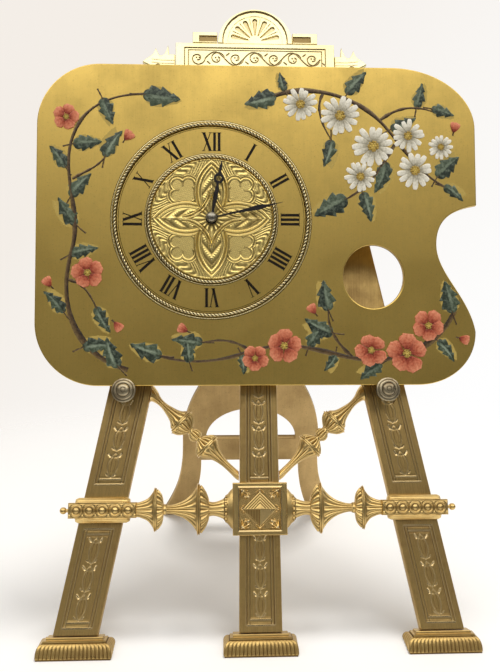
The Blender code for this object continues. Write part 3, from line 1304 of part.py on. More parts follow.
def strut(parent, material):
    """The back leg: an arched plate with a cross bar, hinged at its tongue and cut level at its feet."""
    half = strut_outline()
    outline = [(x, -s) for x, s in half] + [(-x, -s) for x, s in reversed(half)]
    bm = bmesh.new()
    front = -STRUT_THICK / 2
    add_prism(bm, outline, front, -front)
    for vert in bm.verts:
        if -vert.co.z > STRUT_LENGTH * STRUT_FOOT_SHARE:
            vert.co.z -= vert.co.y * math.tan(STRUT_SPREAD)
    plate_body = solid("strut", bm)
    spring = STRUT_BAR_TOP - STRUT_LENGTH
    arch = arc(0.0, spring, STRUT_ARCH_HALF, STRUT_ARCH_TALL, 0.0, 180.0, 14)
    cut(plate_body, shape("arch", add_prism, arch, front - OVERRUN, OVERRUN - front))
    knuckle = bmesh.new()
    add_prism(knuckle, circle(KNUCKLE_RADIUS, 14), -KNUCKLE_HALF, KNUCKLE_HALF)
    for vert in knuckle.verts:
        x, y, z = vert.co
        vert.co = (y, x, z)
    join(plate_body, solid("knuckle", knuckle))
    return place(cut(plate_body, cross_hole(KNUCKLE_HALF)), material, parent)


def cross_hole(half):
    """A cutter along X for the hinge pin."""
    bm = bmesh.new()
    add_prism(bm, circle(PIN_RADIUS + RUN, SMALL_STEPS), -half - OVERRUN, half + OVERRUN)
    for vert in bm.verts:
        x, y, z = vert.co
        vert.co = (y, x, z)
    return solid("cross_hole", bm)


def strut_bracket(parent, material):
    """The hinge's fixed leaf on the post: a plate with two lugs that hold the pin."""
    back = LEG_THICK + SEAT
    lug_in = KNUCKLE_HALF + RUN
    lug_out = lug_in + LUG_THICK
    low = HINGE_HEIGHT + BRACKET_GAP
    leaf = shape("strut_bracket", add_prism, rectangle(-lug_out, lug_out, low, low + BRACKET_RISE),
                 back, back + BRACKET_THICK)
    lugs = []
    for side in (-1, 1):
        bm = bmesh.new()
        profile = [(y + HINGE_Y, z + HINGE_HEIGHT) for y, z in arc(0.0, 0.0, LUG_RADIUS, LUG_RADIUS,
                                                                   180.0, 360.0)]
        profile = [(max(y, back), z) for y, z in profile]
        profile += [(HINGE_Y + LUG_RADIUS, HINGE_HEIGHT), (back + BRACKET_THICK, low + BRACKET_GAP),
                    (back, low + BRACKET_GAP)]
        unique = list(dict.fromkeys(profile))
        ends = sorted((side * lug_in, side * lug_out))
        add_prism(bm, unique, *ends)
        for vert in bm.verts:
            x, y, z = vert.co
            vert.co = (y, x, z)
        lugs.append(solid("lug", bm))
    join(leaf, *lugs)
    hole = cross_hole(lug_out)
    for vert in hole.data.vertices:
        vert.co += Vector((0.0, HINGE_Y, HINGE_HEIGHT))
    return place(cut(leaf, hole, bracket_screw_holes()), material, parent)


def bracket_screw_places():
    high = HINGE_HEIGHT + BRACKET_GAP + BRACKET_RISE - 2 * BRACKET_SCREW_HEAD
    half = (KNUCKLE_HALF + RUN + LUG_THICK) / 2
    return [(side * half, high) for side in (-1, 1)]


def bracket_screw_holes():
    bm = bmesh.new()
    for x, z in bracket_screw_places():
        add_rod(bm, BRACKET_SCREW_RADIUS + RUN, -OVERRUN, LEG_THICK + BRACKET_THICK + 2 * OVERRUN, x, z,
                TINY_STEPS)
    return solid("bracket_screw_holes", bm)


def bracket_screw(name, spot, parent, material):
    return screw(name, SEAT, BRACKET_SCREW_RADIUS, LEG_THICK + SEAT + BRACKET_THICK + SEAT,
                 BRACKET_SCREW_HEAD, BRACKET_SCREW_TALL, spot, parent, material)


def hinge_pin(parent, material):
    half = KNUCKLE_HALF + RUN + LUG_THICK + PIN_END
    bm = bmesh.new()
    add_prism(bm, circle(PIN_RADIUS, SMALL_STEPS), -half, half)
    for vert in bm.verts:
        x, y, z = vert.co
        vert.co = (y, x, z)
    return place(solid("hinge_pin", bm), material, parent, (0.0, HINGE_Y, HINGE_HEIGHT))


def build():
    clear_scene()
    leg_brass = metal("leg_brass", (0.42, 0.29, 0.11), 0.38)
    bright_brass = metal("bright_brass", (0.78, 0.57, 0.22), 0.28)
    palette_brass = metal("palette_brass", (0.60, 0.44, 0.15), 0.42)
    gilt = metal("gilt", (0.72, 0.54, 0.24), 0.36)
    strut_brass = metal("strut_brass", (0.55, 0.36, 0.18), 0.45)
    nickel = metal("nickel", (0.52, 0.50, 0.46), 0.30)
    blued = metal("blued_steel", (0.03, 0.035, 0.06), 0.35)
    steel = metal("steel", (0.45, 0.45, 0.46), 0.30)
    train_brass = metal("train_brass", (0.70, 0.52, 0.22), 0.32)

    easel = frame("easel_frame", None, (0.0, 0.0, 0.0), -EASEL_LEAN)
    board = frame("palette_frame", easel, (0.0, -PALETTE_GAP, PALETTE_SEAT), EASEL_LEAN - PALETTE_LEAN)
    dial = frame("dial_frame", board, (DIAL_X, 0.0, DIAL_Z), 0.0)
    swing = frame("strut_frame", easel, (0.0, HINGE_Y, HINGE_HEIGHT), EASEL_LEAN + STRUT_SPREAD)

    for name, side in (("left", -1), ("centre", 0), ("right", 1)):
        foot(f"{name}_foot", side * leg_centre(FOOT_HEIGHT), easel, bright_brass)
    for name, side in (("left", -1), ("right", 1)):
        side_leg(f"{name}_leg", side, easel, leg_brass)
        brace(f"{name}_brace", side, easel, bright_brass)
        side_leaf(f"{name}_leaf", side, easel, bright_brass)
        stud(f"{name}_stud", side, easel, nickel)
        stud_nut(f"{name}_stud_nut", side, easel, nickel)
    centre_post(easel, leg_brass)
    cross_rail(easel, bright_brass)
    crest_panel(easel, bright_brass)
    crest_fan(easel, bright_brass)

    strut_bracket(easel, bright_brass)
    for name, spot in zip(("left", "right"), bracket_screw_places()):
        bracket_screw(f"{name}_bracket_screw", spot, easel, steel)
    hinge_pin(easel, steel)
    strut(swing, strut_brass)

    palette(board, palette_brass)
    rope_ring("outer_rope_ring", OUTER_RING_RADIUS, 48, dial, gilt)
    rope_ring("inner_rope_ring", INNER_RING_RADIUS, 36, dial, gilt)
    dial_rosette(dial, gilt)
    hour_hand(dial, blued)
    minute_hand(dial, blued)
    hand_collet(dial, nickel)

    movement_case(dial, train_brass)
    for number, angle in enumerate(CASE_SCREW_ANGLES, 1):
        case_screw(f"case_screw_{number}", angle, dial, steel)
    back_cover(dial, train_brass)
    front_plate(dial, train_brass)
    back_plate(dial, train_brass)
    for number, angle in enumerate(PILLAR_ANGLES, 1):
        plate_screw(f"plate_screw_{number}", angle, dial, steel)

    centre_arbor(dial, steel)
    hour_wheel(dial, train_brass)
    minute_wheel(dial, train_brass)
    hand_set_knob(dial, train_brass)

    centre_wheel(dial, train_brass)
    third = gear(THIRD_TEETH, THIRD_MODULE, math.radians(FOURTH_ANGLE), pointed=True)
    third_pinion = gear(THIRD_LEAVES, CENTRE_MODULE, meshing(THIRD_ANGLE, THIRD_LEAVES))
    train_wheel("third_wheel", third, THIRD_WHEEL_DEPTH, third_pinion, CENTRE_WHEEL_DEPTH, THIRD_AT,
                dial, train_brass)
    fourth = gear(FOURTH_TEETH, FOURTH_MODULE, math.radians(ESCAPE_ANGLE), pointed=True)
    fourth_pinion = gear(FOURTH_LEAVES, THIRD_MODULE, meshing(FOURTH_ANGLE, FOURTH_LEAVES))
    train_wheel("fourth_wheel", fourth, FOURTH_WHEEL_DEPTH, fourth_pinion, THIRD_WHEEL_DEPTH, FOURTH_AT,
                dial, train_brass)
    escape_pinion = gear(ESCAPE_LEAVES, FOURTH_MODULE, meshing(ESCAPE_ANGLE, ESCAPE_LEAVES))
    train_wheel("escape_wheel", escape_outline(), ESCAPE_DEPTH, escape_pinion, FOURTH_WHEEL_DEPTH, ESCAPE_AT,
                dial, steel)
    pallet_lever(dial, steel)
    balance_wheel(dial, train_brass)
    hairspring(dial, blued)

    barrel(dial, train_brass)
    barrel_cap(dial, train_brass)
    mainspring(dial, blued)
    barrel_arbor(dial, steel)
    ratchet_wheel(dial, steel)
    click(dial, steel)
    click_spring(dial, steel)
    winding_key(dial, bright_brass)


build()
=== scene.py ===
"""Looks of the brass strut clock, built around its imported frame."""

from math import atan2, ceil, cos, pi, radians, sin, sqrt, tan

import bmesh
import bpy
import numpy as np
from mathutils import Matrix, Vector


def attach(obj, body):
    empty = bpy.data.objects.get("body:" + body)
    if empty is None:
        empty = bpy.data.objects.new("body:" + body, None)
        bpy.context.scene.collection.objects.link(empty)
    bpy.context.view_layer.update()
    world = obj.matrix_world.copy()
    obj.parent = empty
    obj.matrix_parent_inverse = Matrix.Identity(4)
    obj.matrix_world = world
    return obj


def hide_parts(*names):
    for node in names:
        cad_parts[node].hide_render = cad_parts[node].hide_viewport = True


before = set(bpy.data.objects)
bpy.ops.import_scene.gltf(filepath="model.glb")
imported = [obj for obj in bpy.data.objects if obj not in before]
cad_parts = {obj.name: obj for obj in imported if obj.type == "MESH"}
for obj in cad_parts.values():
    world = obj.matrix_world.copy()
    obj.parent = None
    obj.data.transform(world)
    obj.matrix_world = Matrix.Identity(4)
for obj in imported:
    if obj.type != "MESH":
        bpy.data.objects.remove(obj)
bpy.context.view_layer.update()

# Legs and centre post: flat bars of rolled brass, sheared to a taper and drawn bright. Their fronts carry
# wriggled border lines and cut sprigs, in one panel below the rail and one above it. They are pinned to
# the crest and the rail, and stand on cast feet.
MM = 0.001
EASEL_LEAN = radians(22.0)
EASEL = Matrix.Rotation(-EASEL_LEAN, 4, "X")
LEG_THICK = 4.5 * MM
LEG_HALF = 9.55 * MM
LEG_SPREAD = 81.1 * MM
LEG_SLOPE = 0.202
LEG_LOW = 8.1 * MM
LEG_TOP = 270.0 * MM
POST_FOOT_HALF = 9.4 * MM
POST_SLOPE = 0.00855
LEG_BEVEL = 0.35 * MM
ENGRAVED_TOP = 122.0 * MM
PALE_GOLD = (1.0, 0.86, 0.55)
POLISH_SHARE = 0.55
LEG_BRASS = ((0.62, 0.43, 0.16), (0.30, 0.19, 0.072), (0.09, 0.05, 0.018))


def node(tree, kind, values=None, **settings):
    """A shader node with its settings, and with its inputs set or linked."""
    made = tree.nodes.new(f"ShaderNode{kind}")
    for name, value in settings.items():
        setattr(made, name, value)
    for name, value in (values or {}).items():
        if isinstance(value, bpy.types.NodeSocket):
            tree.links.new(value, made.inputs[name])
        else:
            made.inputs[name].default_value = value
    return made


def blend_colours(tree, share, first, second):
    """A node that goes from one colour to another, and its colour output."""
    made = node(tree, "Mix", data_type="RGBA")
    for place, value in ((0, share), (6, first), (7, second)):
        if isinstance(value, bpy.types.NodeSocket):
            tree.links.new(value, made.inputs[place])
        else:
            made.inputs[place].default_value = value
    return made.outputs[2]


def maths(tree, operation, *values, clamp=False):
    """The output of a node that works out a sum from numbers or sockets."""
    return node(tree, "Math", dict(enumerate(values)), operation=operation, use_clamp=clamp).outputs[0]


def aged_metal_group():
    """Metal that has darkened in blotches, with a drawn grain, dirt left in its cuts and painted shade where
    marked.
    """
    group = bpy.data.node_groups.new("aged metal", "ShaderNodeTree")
    for direction, kind, names in (
            ("INPUT", "Color", ("Bright", "Dull", "Dirt And Shade", "Polished")), ("INPUT", "Vector", ("Grain",)),
            ("INPUT", "Float", ("Stain", "Stain Size", "Groove", "Shine", "Rough", "Streak")),
            ("OUTPUT", "Color", ("Color",)), ("OUTPUT", "Float", ("Roughness", "Height"))):
        for name in names:
            group.interface.new_socket(name, in_out=direction, socket_type=f"NodeSocket{kind}")
    entry = group.nodes.new("NodeGroupInput").outputs
    leave = group.nodes.new("NodeGroupOutput").inputs
    place = node(group, "TexCoord").outputs["Object"]
    blotch = node(group, "TexNoise", {"Vector": place, "Scale": entry["Stain Size"], "Detail": 6.0,
                                      "Roughness": 0.62})
    spread = node(group, "MapRange", {"Value": blotch.outputs[0], "From Min": 0.40, "From Max": 0.66})
    stain = maths(group, "MULTIPLY", spread.outputs[0], entry["Stain"])
    stretched = node(group, "VectorMath", {0: place, 1: entry["Grain"]}, operation="MULTIPLY")
    grain = node(group, "TexNoise", {"Vector": stretched.outputs[0], "Scale": 1.0, "Detail": 3.0,
                                     "Roughness": 0.7})
    streak = maths(group, "MULTIPLY", maths(group, "ADD", grain.outputs[0], -0.5), entry["Streak"])
    dull = maths(group, "ADD", stain, streak, clamp=True)
    fine = node(group, "TexNoise", {"Vector": place, "Scale": 1400.0, "Detail": 2.0})
    speck = node(group, "MapRange", {"Value": fine.outputs[0], "From Min": 0.60, "From Max": 0.78,
                                     "To Max": 0.3})
    dark = maths(group, "MAXIMUM", entry["Groove"], speck.outputs[0], clamp=True)
    tone = blend_colours(group, dull, entry["Bright"], entry["Dull"])
    soiled = blend_colours(group, dark, tone, entry["Dirt And Shade"])
    group.links.new(blend_colours(group, entry["Shine"], soiled, entry["Polished"]), leave["Color"])
    worn = maths(group, "MULTIPLY_ADD", dull, 0.16, entry["Rough"])
    rougher = maths(group, "MULTIPLY_ADD", dark, 0.25, worn)
    smoother = maths(group, "MULTIPLY_ADD", entry["Shine"], -0.15, rougher, clamp=True)
    group.links.new(smoother, leave["Roughness"])
    group.links.new(maths(group, "ADD", grain.outputs[0], fine.outputs[0]), leave["Height"])
    return group


AGED_METAL = aged_metal_group()


def new_finish(name, values):
    """A new material, its node tree, and its surface with some inputs set."""
    finish = bpy.data.materials.new(name)
    finish.use_nodes = True
    surface = finish.node_tree.nodes["Principled BSDF"]
    for socket, value in values.items():
        surface.inputs[socket].default_value = value
    return finish, finish.node_tree, surface


def metal(name, colours, grain, stain, stain_size, rough, streak, bump, pits=1.0):
    """A metal finish: bright, dull and dirt-and-shade colours, and a grain that runs where its scale is
    lowest.
    """
    finish, tree, surface = new_finish(name, {"Metallic": 1.0})
    groove = node(tree, "Attribute", attribute_name="groove")
    shine = node(tree, "Attribute", attribute_name="shine")
    look = node(tree, "Group", node_tree=AGED_METAL)
    polished = tuple(part + (limit - part) * POLISH_SHARE for part, limit in zip(colours[0], PALE_GOLD))
    for socket, colour in zip(("Bright", "Dull", "Dirt And Shade", "Polished"), (*colours, polished)):
        look.inputs[socket].default_value = (*colour, 1.0)
    scales = grain if isinstance(grain, tuple) else (grain,) * 3
    for socket, value in (("Grain", scales), ("Stain", stain), ("Stain Size", stain_size), ("Rough", rough),
                          ("Streak", streak)):
        look.inputs[socket].default_value = value
    tree.links.new(maths(tree, "MULTIPLY", groove.outputs["Fac"], pits), look.inputs["Groove"])
    tree.links.new(shine.outputs["Fac"], look.inputs["Shine"])
    relief = node(tree, "Bump", {"Height": look.outputs["Height"], "Strength": 1.0, "Distance": bump * MM})
    tree.links.new(look.outputs["Color"], surface.inputs["Base Color"])
    tree.links.new(look.outputs["Roughness"], surface.inputs["Roughness"])
    tree.links.new(relief.outputs["Normal"], surface.inputs["Normal"])
    return finish


def near_line(x, z, points, reach):
    """Distance of each point of a grid from a line through points, out to a reach."""
    away = np.full(x.shape, reach * 2)
    points = np.asarray(points, dtype=float)
    for (x0, z0), (x1, z1) in zip(points[:-1], points[1:]):
        close = ((x > min(x0, x1) - reach) & (x < max(x0, x1) + reach)
                 & (z > min(z0, z1) - reach) & (z < max(z0, z1) + reach))
        if not close.any():
            continue
        px, pz = x[close] - x0, z[close] - z0
        dx, dz = x1 - x0, z1 - z0
        along = np.clip((px * dx + pz * dz) / max(dx * dx + dz * dz, 1e-18), 0.0, 1.0)
        away[close] = np.minimum(away[close], np.hypot(px - along * dx, pz - along * dz))
    return away


def ridge(distance, half):
    """A rounded profile that is 1 on a line and 0 at half its width."""
    return np.cos(np.clip(np.abs(distance) / half, 0.0, 1.0) * pi / 2) ** 2


class Engraving:
    """The face of a flat piece as a grid, with the depth of its cuts and the dirt left in them."""

    def __init__(self, x, z):
        self.x, self.z = x, z
        self.depth = np.zeros_like(x)
        self.dirt = np.zeros_like(x)
        self.shine = np.zeros_like(x)

    def cut(self, points, wide, deep, dirt, shine=0.0):
        """A cut line through points, rounded across, with dirt or a bright floor."""
        share = ridge(near_line(self.x, self.z, points, wide), wide / 2)
        self.depth = np.maximum(self.depth, share * deep)
        self.dirt = np.maximum(self.dirt * (1 - share * shine), share * dirt)
        self.shine = np.maximum(self.shine, share * shine)

    def raise_line(self, points, wide, high, shine=0.8):
        """A raised line through points, rubbed clean and bright."""
        share = ridge(near_line(self.x, self.z, points, wide), wide / 2)
        self.shine = np.maximum(self.shine, share * shine)
        raised = np.minimum(self.depth, self.depth * (1 - share) - share * high)
        self.depth = np.where(share > 0, raised, self.depth)
        self.dirt = self.dirt * (1 - share)

    def spray(self, start, turn, strokes, wide, high, shine=0.8):
        """Raised strokes that spread from a start, each with its lean from a turn and its length."""
        for lean, reach in strokes:
            tip = (start[0] + cos(turn + lean) * reach * MM, start[1] + sin(turn + lean) * reach * MM)
            self.raise_line([start, tip], wide, high, shine)


def spread_out(*runs):
    """Numbers from runs of (first, last, step), as one array."""
    parts = [np.arange(first, last - step / 2, step) for first, last, step in runs]
    return np.concatenate(parts + [[runs[-1][1]]])


def rounded(beyond, radius):
    """How far a front falls back where it comes near an edge, or passes it, for a rounded edge."""
    into = np.clip((beyond + radius) / radius, 0, 1)
    return radius * (1 - np.sqrt(1 - into ** 2 * 0.999))


def mark_points(mesh, label, values):
    """A value for each point of a mesh, such as the dirt in a groove, for its finish to read."""
    mesh.attributes.new(label, "FLOAT", "POINT").data.foreach_set("value", values)
    return mesh


def grid_faces(index):
    """The four-sided faces between neighbours in a grid of point numbers."""
    corners = (index[:-1, :-1], index[:-1, 1:], index[1:, 1:], index[1:, :-1])
    return np.stack(corners, -1).reshape(-1, 4).tolist()


def plate_mesh(name, x, z, front, back, groove=None, shine=None, wrap=False):
    """A closed plate whose front follows a grid of points, with straight sides and a flat back."""
    rows, columns = x.shape
    count = rows * columns
    index = np.arange(count).reshape(rows, columns)
    if wrap:
        index = np.hstack((index, index[:, :1]))
        rim = [index[0, :-1], index[-1, :-1]]
    else:
        rim = [np.concatenate((index[0, :-1], index[:-1, -1], index[-1, :0:-1], index[:0:-1, 0]))]
    points = np.stack((x, front, z), -1).reshape(-1, 3)
    behind = [points[loop] * (1, 0, 1) + (0, back, 0) for loop in rim]
    faces = grid_faces(index)
    start, loops = count, []
    for loop in rim:
        far = np.arange(start, start + len(loop))
        start += len(loop)
        faces += np.stack((loop, np.roll(loop, -1), np.roll(far, -1), far), -1).tolist()
        loops.append(far)
    if wrap:
        faces += np.stack((loops[0], np.roll(loops[0], -1), np.roll(loops[1], -1), loops[1]), -1).tolist()
    else:
        faces.append(loops[0].tolist())
    mesh = bpy.data.meshes.new(name)
    mesh.from_pydata(np.concatenate([points] + behind).tolist(), [], faces)
    for label, given in (("groove", groove), ("shine", shine)):
        values = np.zeros(len(mesh.vertices))
        if given is not None:
            values[:count] = np.clip(given, 0.0, 1.0).reshape(-1)
        mark_points(mesh, label, values)
    return mesh


def in_scene(name, data):
    """A new object in the scene."""
    made = bpy.data.objects.new(name, data)
    bpy.context.scene.collection.objects.link(made)
    return made


def set_piece(name, meshes, place, finish, body, node_name=None, sharp=38.0):
    """Puts a finished piece in its place, made from one mesh or several, and ties it to the frame."""
    bm = bmesh.new()
    for part in meshes if isinstance(meshes, list) else [meshes]:
        bm.from_mesh(part)
    bmesh.ops.recalc_face_normals(bm, faces=bm.faces)
    mesh = bpy.data.meshes.new(name)
    bm.to_mesh(mesh)
    bm.free()
    piece = in_scene(name, mesh)
    mesh.materials.append(finish)
    mesh.shade_smooth()
    mesh.set_sharp_from_angle(angle=radians(sharp))
    if "level" in mesh.attributes:
        for face, level in zip(mesh.polygons, mesh.attributes["level"].data):
            face.use_smooth = not level.value
    piece.matrix_world = place
    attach(piece, body)
    if node_name:
        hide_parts(node_name)


def leg_centre(height):
    """How far a leg's middle stands from the clock's at a height."""
    return LEG_SPREAD - LEG_SLOPE * height


def leg_half(side, height):
    """Half the width of a leg, or of the post at side 0, at a height."""
    return LEG_HALF + 0 * height if side else POST_FOOT_HALF - POST_SLOPE * height


leg_finish = metal("drawn leg brass", LEG_BRASS, (1500.0, 1500.0, 40.0), stain=0.75, stain_size=55.0,
                   rough=0.33, streak=0.9, bump=0.03)


def sprig(face, side, low, high, hand):
    """A cut sprig: two stems that bow apart and meet again, with a pair of bright leaves at each end."""
    tall = high - low
    for way in (-1, 1):
        bow = hand.uniform(1.9, 2.4) * MM
        stem = [(side * leg_centre(low + tall * t) + way * bow * sin(pi * t) ** 0.8, low + tall * t)
                for t in np.linspace(0.0, 1.0, 11)]
        face.cut(stem, 0.65 * MM, 0.20 * MM, 0.30, 0.60)
        fill = [(side * leg_centre(low + tall * t) + way * bow * 0.42 * sin(pi * t), low + tall * t)
                for t in np.linspace(0.22, hand.uniform(0.66, 0.84), 7)]
        face.cut(fill, 0.55 * MM, 0.12 * MM, 0.75)
        for level, out, up, wide in ((0.04, 2.2, 0.12, 0.7), (0.80, 2.8, 0.17, 1.25)):
            x, z = side * leg_centre(low + tall * level), low + tall * level
            tip = (x + way * out * MM, z + tall * up * hand.uniform(0.8, 1.15))
            bend = (x + way * out * 0.72 * MM, z + tall * up * 0.28)
            face.cut([(x + way * 0.3 * MM, z), bend], 0.65 * MM, 0.16 * MM, 0.3, 0.6)
            face.cut([bend, tip], wide * MM, wide * 0.3 * MM, 0.0, 1.0)


def panel_lines(face, side, low, high):
    """The border of a panel: two cut lines at the sides, and two bright raised bars at each end."""
    for inset, wide in ((3.3 * MM, 0.40 * MM), (4.6 * MM, 0.34 * MM)):
        for way in (-1, 1):
            line = [(side * leg_centre(h) + way * (leg_half(side, h) - inset), h) for h in (low, high)]
            face.cut(line, wide * 1.7, 0.2 * MM, 0.95)
            face.cut([(x + way * wide * 1.15, h) for x, h in line], wide * 1.2, 0.02 * MM, 0.0, 0.55)
    for level, up, inset in ((low, 1, 3.3 * MM), (high, -1, 3.3 * MM), (low + 2.3 * MM, 1, 4.9 * MM),
                             (high - 2.3 * MM, -1, 4.9 * MM)):
        ends = [(side * leg_centre(level) + way * (leg_half(side, level) - inset), level) for way in (-1, 1)]
        face.cut([(x, z + up * 0.7 * MM) for x, z in ends], 0.8 * MM, 0.16 * MM, 0.7)
        face.raise_line(ends, 0.9 * MM, 0.25 * MM, 1.0)


# Each bar's side, and the seed of its engraver's hand
LEG_BARS = (("left_leg", -1, 3), ("centre_post", 0, 4), ("right_leg", 1, 5))
# The two panels of every bar: their ends, and how many sprigs they hold
PANELS = ((LEG_LOW + 3.1 * MM, 52.5 * MM, 3), (71.5 * MM, ENGRAVED_TOP + 2 * MM, 4))

for name, side, seed in LEG_BARS:
    across = np.concatenate(([-1.0, -0.985, -0.96], np.arange(-0.925, 0.93, 0.0285), [0.96, 0.985, 1.0]))
    along = spread_out((LEG_LOW, ENGRAVED_TOP, 0.32 * MM), (ENGRAVED_TOP, LEG_TOP, 6.0 * MM))
    u, z = np.meshgrid(across, along)
    x = side * leg_centre(z) + u * leg_half(side, z)
    face = Engraving(x, z)
    hand = np.random.default_rng(seed)
    for line in np.arange(-0.9, 0.95, 0.075):
        if 0.5 < abs(line) < 0.56:
            continue
        drift = line + hand.normal(0.0, 0.006)
        path = [(side * leg_centre(h) + drift * leg_half(side, h), h) for h in (LEG_LOW, ENGRAVED_TOP)]
        face.cut(path, 0.26 * MM, 0.03 * MM * hand.uniform(0.5, 1.5), 0.22)
    for low, high, count in PANELS:
        panel_lines(face, side, low, high)
        room = (high - low - 6 * MM) / count
        for i in range(count):
            sprig(face, side, low + 3 * MM + room * i, low + 3 * MM + room * (i + 0.94), hand)
    front = face.depth + rounded((np.abs(u) - 1) * LEG_HALF, LEG_BEVEL)
    front[0, :] = front[-1, :] = LEG_BEVEL
    mesh = plate_mesh(name, x, z, front, LEG_THICK, face.dirt, face.shine)
    set_piece(f"{name}_bar", mesh, EASEL, leg_finish, "easel", name)

# Feet: three brass castings, each a quarter-round moulding with radiating flutes, two bright fillets on
# top and a scalloped lower edge. Each is brazed to the end of its leg and stands level on the table.
FOOT_TALL = 7.8 * MM
FOOT_TOP_HALF = 11.9 * MM
FOOT_SPREAD = 4.3 * MM
FOOT_TOP_DEPTH = 2.9 * MM
FOOT_DEPTH_SHARE = 0.6
FOOT_FLUTES = 19
FOOT_SIDE_FLUTES = 5
POINTS_PER_FLUTE = 8
# Height share, spread share and depth of the flutes, from the base to the top
FOOT_LEVELS = [(0.0, 0.84, 0.0), (0.02, 0.88, 0.0), (0.075, 0.90, 0.0), (0.085, 0.96, 0.4), (0.11, 1.0, 1.0)]
FOOT_LEVELS += [(0.12 + 0.60 * t, 0.43 + 0.57 * sqrt(max(0.0, 1 - t ** 2.1)), 1.0 - 0.7 * t)
                for t in np.linspace(0.05, 1.0, 22)]
FOOT_LEVELS += [(level, spread, 0.0) for level, spread in (
    (0.735, 0.43), (0.745, 0.30), (0.76, 0.33), (0.80, 0.345), (0.835, 0.33), (0.85, 0.24), (0.855, 0.02),
    (0.87, 0.0), (0.90, 0.03), (0.95, 0.035), (0.985, 0.01), (1.0, -0.04))]
CAST_BRASS = ((0.62, 0.43, 0.155), (0.34, 0.215, 0.08), (0.13, 0.075, 0.024))

cast_finish = metal("cast brass", CAST_BRASS, 500.0, stain=0.7, stain_size=70.0, rough=0.32,
                    streak=0.25, bump=0.05)


def loft_mesh(name, sections, groove=None, loop=False):
    """A closed piece through sections that have as many points each."""
    rings = np.array([[tuple(point) for point in section] for section in sections], dtype=float)
    rows, columns = rings.shape[:2]
    index = np.arange(rows * columns).reshape(rows, columns)
    index = np.hstack((index, index[:, :1]))
    if loop:
        index = np.vstack((index, index[:1]))
    faces = grid_faces(index)
    if not loop:
        faces += [index[0, :-1].tolist(), index[-1, :-1].tolist()]
    mesh = bpy.data.meshes.new(name)
    mesh.from_pydata(rings.reshape(-1, 3).tolist(), [], faces)
    dirt = np.zeros(rows * columns) if groove is None else np.asarray(groove, float).reshape(-1)
    return mark_points(mesh, "groove", np.clip(dirt, 0, 1))


def foot_mesh(name):
    """One foot, standing level under its slanted leg."""
    front = [(-1 + 2 * i / (FOOT_FLUTES * POINTS_PER_FLUTE), -1.0, i / POINTS_PER_FLUTE)
             for i in range(FOOT_FLUTES * POINTS_PER_FLUTE + 1)]
    steps = FOOT_SIDE_FLUTES * POINTS_PER_FLUTE
    side = [(1.0, -1 + 2 * i / steps, i / POINTS_PER_FLUTE) for i in range(1, steps)]
    outline = front + side + [(1.0, 1.0, 0.0), (-1.0, 1.0, 0.0)]
    outline += [(-1.0, y, lobe) for _, y, lobe in reversed(side)]
    sections, grooves = [], []
    for share, spread, fluted in FOOT_LEVELS:
        half = FOOT_TOP_HALF + FOOT_SPREAD * spread
        deep = FOOT_TOP_DEPTH + FOOT_DEPTH_SHARE * FOOT_SPREAD * spread
        section, row = [], []
        for px, py, lobe in outline:
            hollow = fluted * (1 - abs(sin(pi * lobe))) ** 1.5
            sink = 0.5 * MM * hollow
            if py == -1.0:
                x, y = px * half * (1 - 0.02 * hollow), -deep + sink
            elif py == 1.0:
                x, y = px * half, deep
            else:
                x, y = px * (half - sink), py * deep
            y += LEG_THICK / 2
            level = FOOT_TALL * share
            section.append((x, y, level + y * tan(EASEL_LEAN) * (1 - share)))
            in_joint = share < 0.08 or 0.73 < share < 0.75
            row.append(0.85 * hollow if 0.09 < share < 0.73 else 0.9 if in_joint else 0.1)
        sections.append(section)
        grooves.append(row)
    return loft_mesh(name, sections, grooves)


for name, side in (("left", -1), ("centre", 0), ("right", 1)):
    under_leg = EASEL @ Matrix.Translation((side * leg_centre(FOOT_TALL), 0, 0))
    set_piece(f"{name}_foot_casting", foot_mesh(name), under_leg, cast_finish, "easel",
              f"{name}_foot")

# Cross rail: one brass casting with a flat back, carved in the mould as two turned spindles between a
# plaque block and two end blocks, and chased afterwards. Cast pegs pass through the three bars of the
# easel and are headed over behind.
SEAT = 0.3 * MM
RAIL_HEIGHT = 60.5 * MM
BLOCK_HALF = 12.0 * MM
BLOCK_HALF_TALL = 11.3 * MM
BLOCK_FACE = -SEAT - 3.6 * MM
RIM_HALF = 11.4 * MM
DIAMOND_REACH = 8.3 * MM
SPINDLE_DEPTH = 2.0 * MM
ROUND_SHARE = 0.22
END_HALF = 14.7 * MM
END_LIP_HALF = 12.0 * MM
END_TALL = 5.4 * MM
END_BAND = 3.3 * MM
BOSS_PITCH = 5.6 * MM
FINIAL_REACH = 3.9 * MM
FINIAL_RADIUS = 1.5 * MM
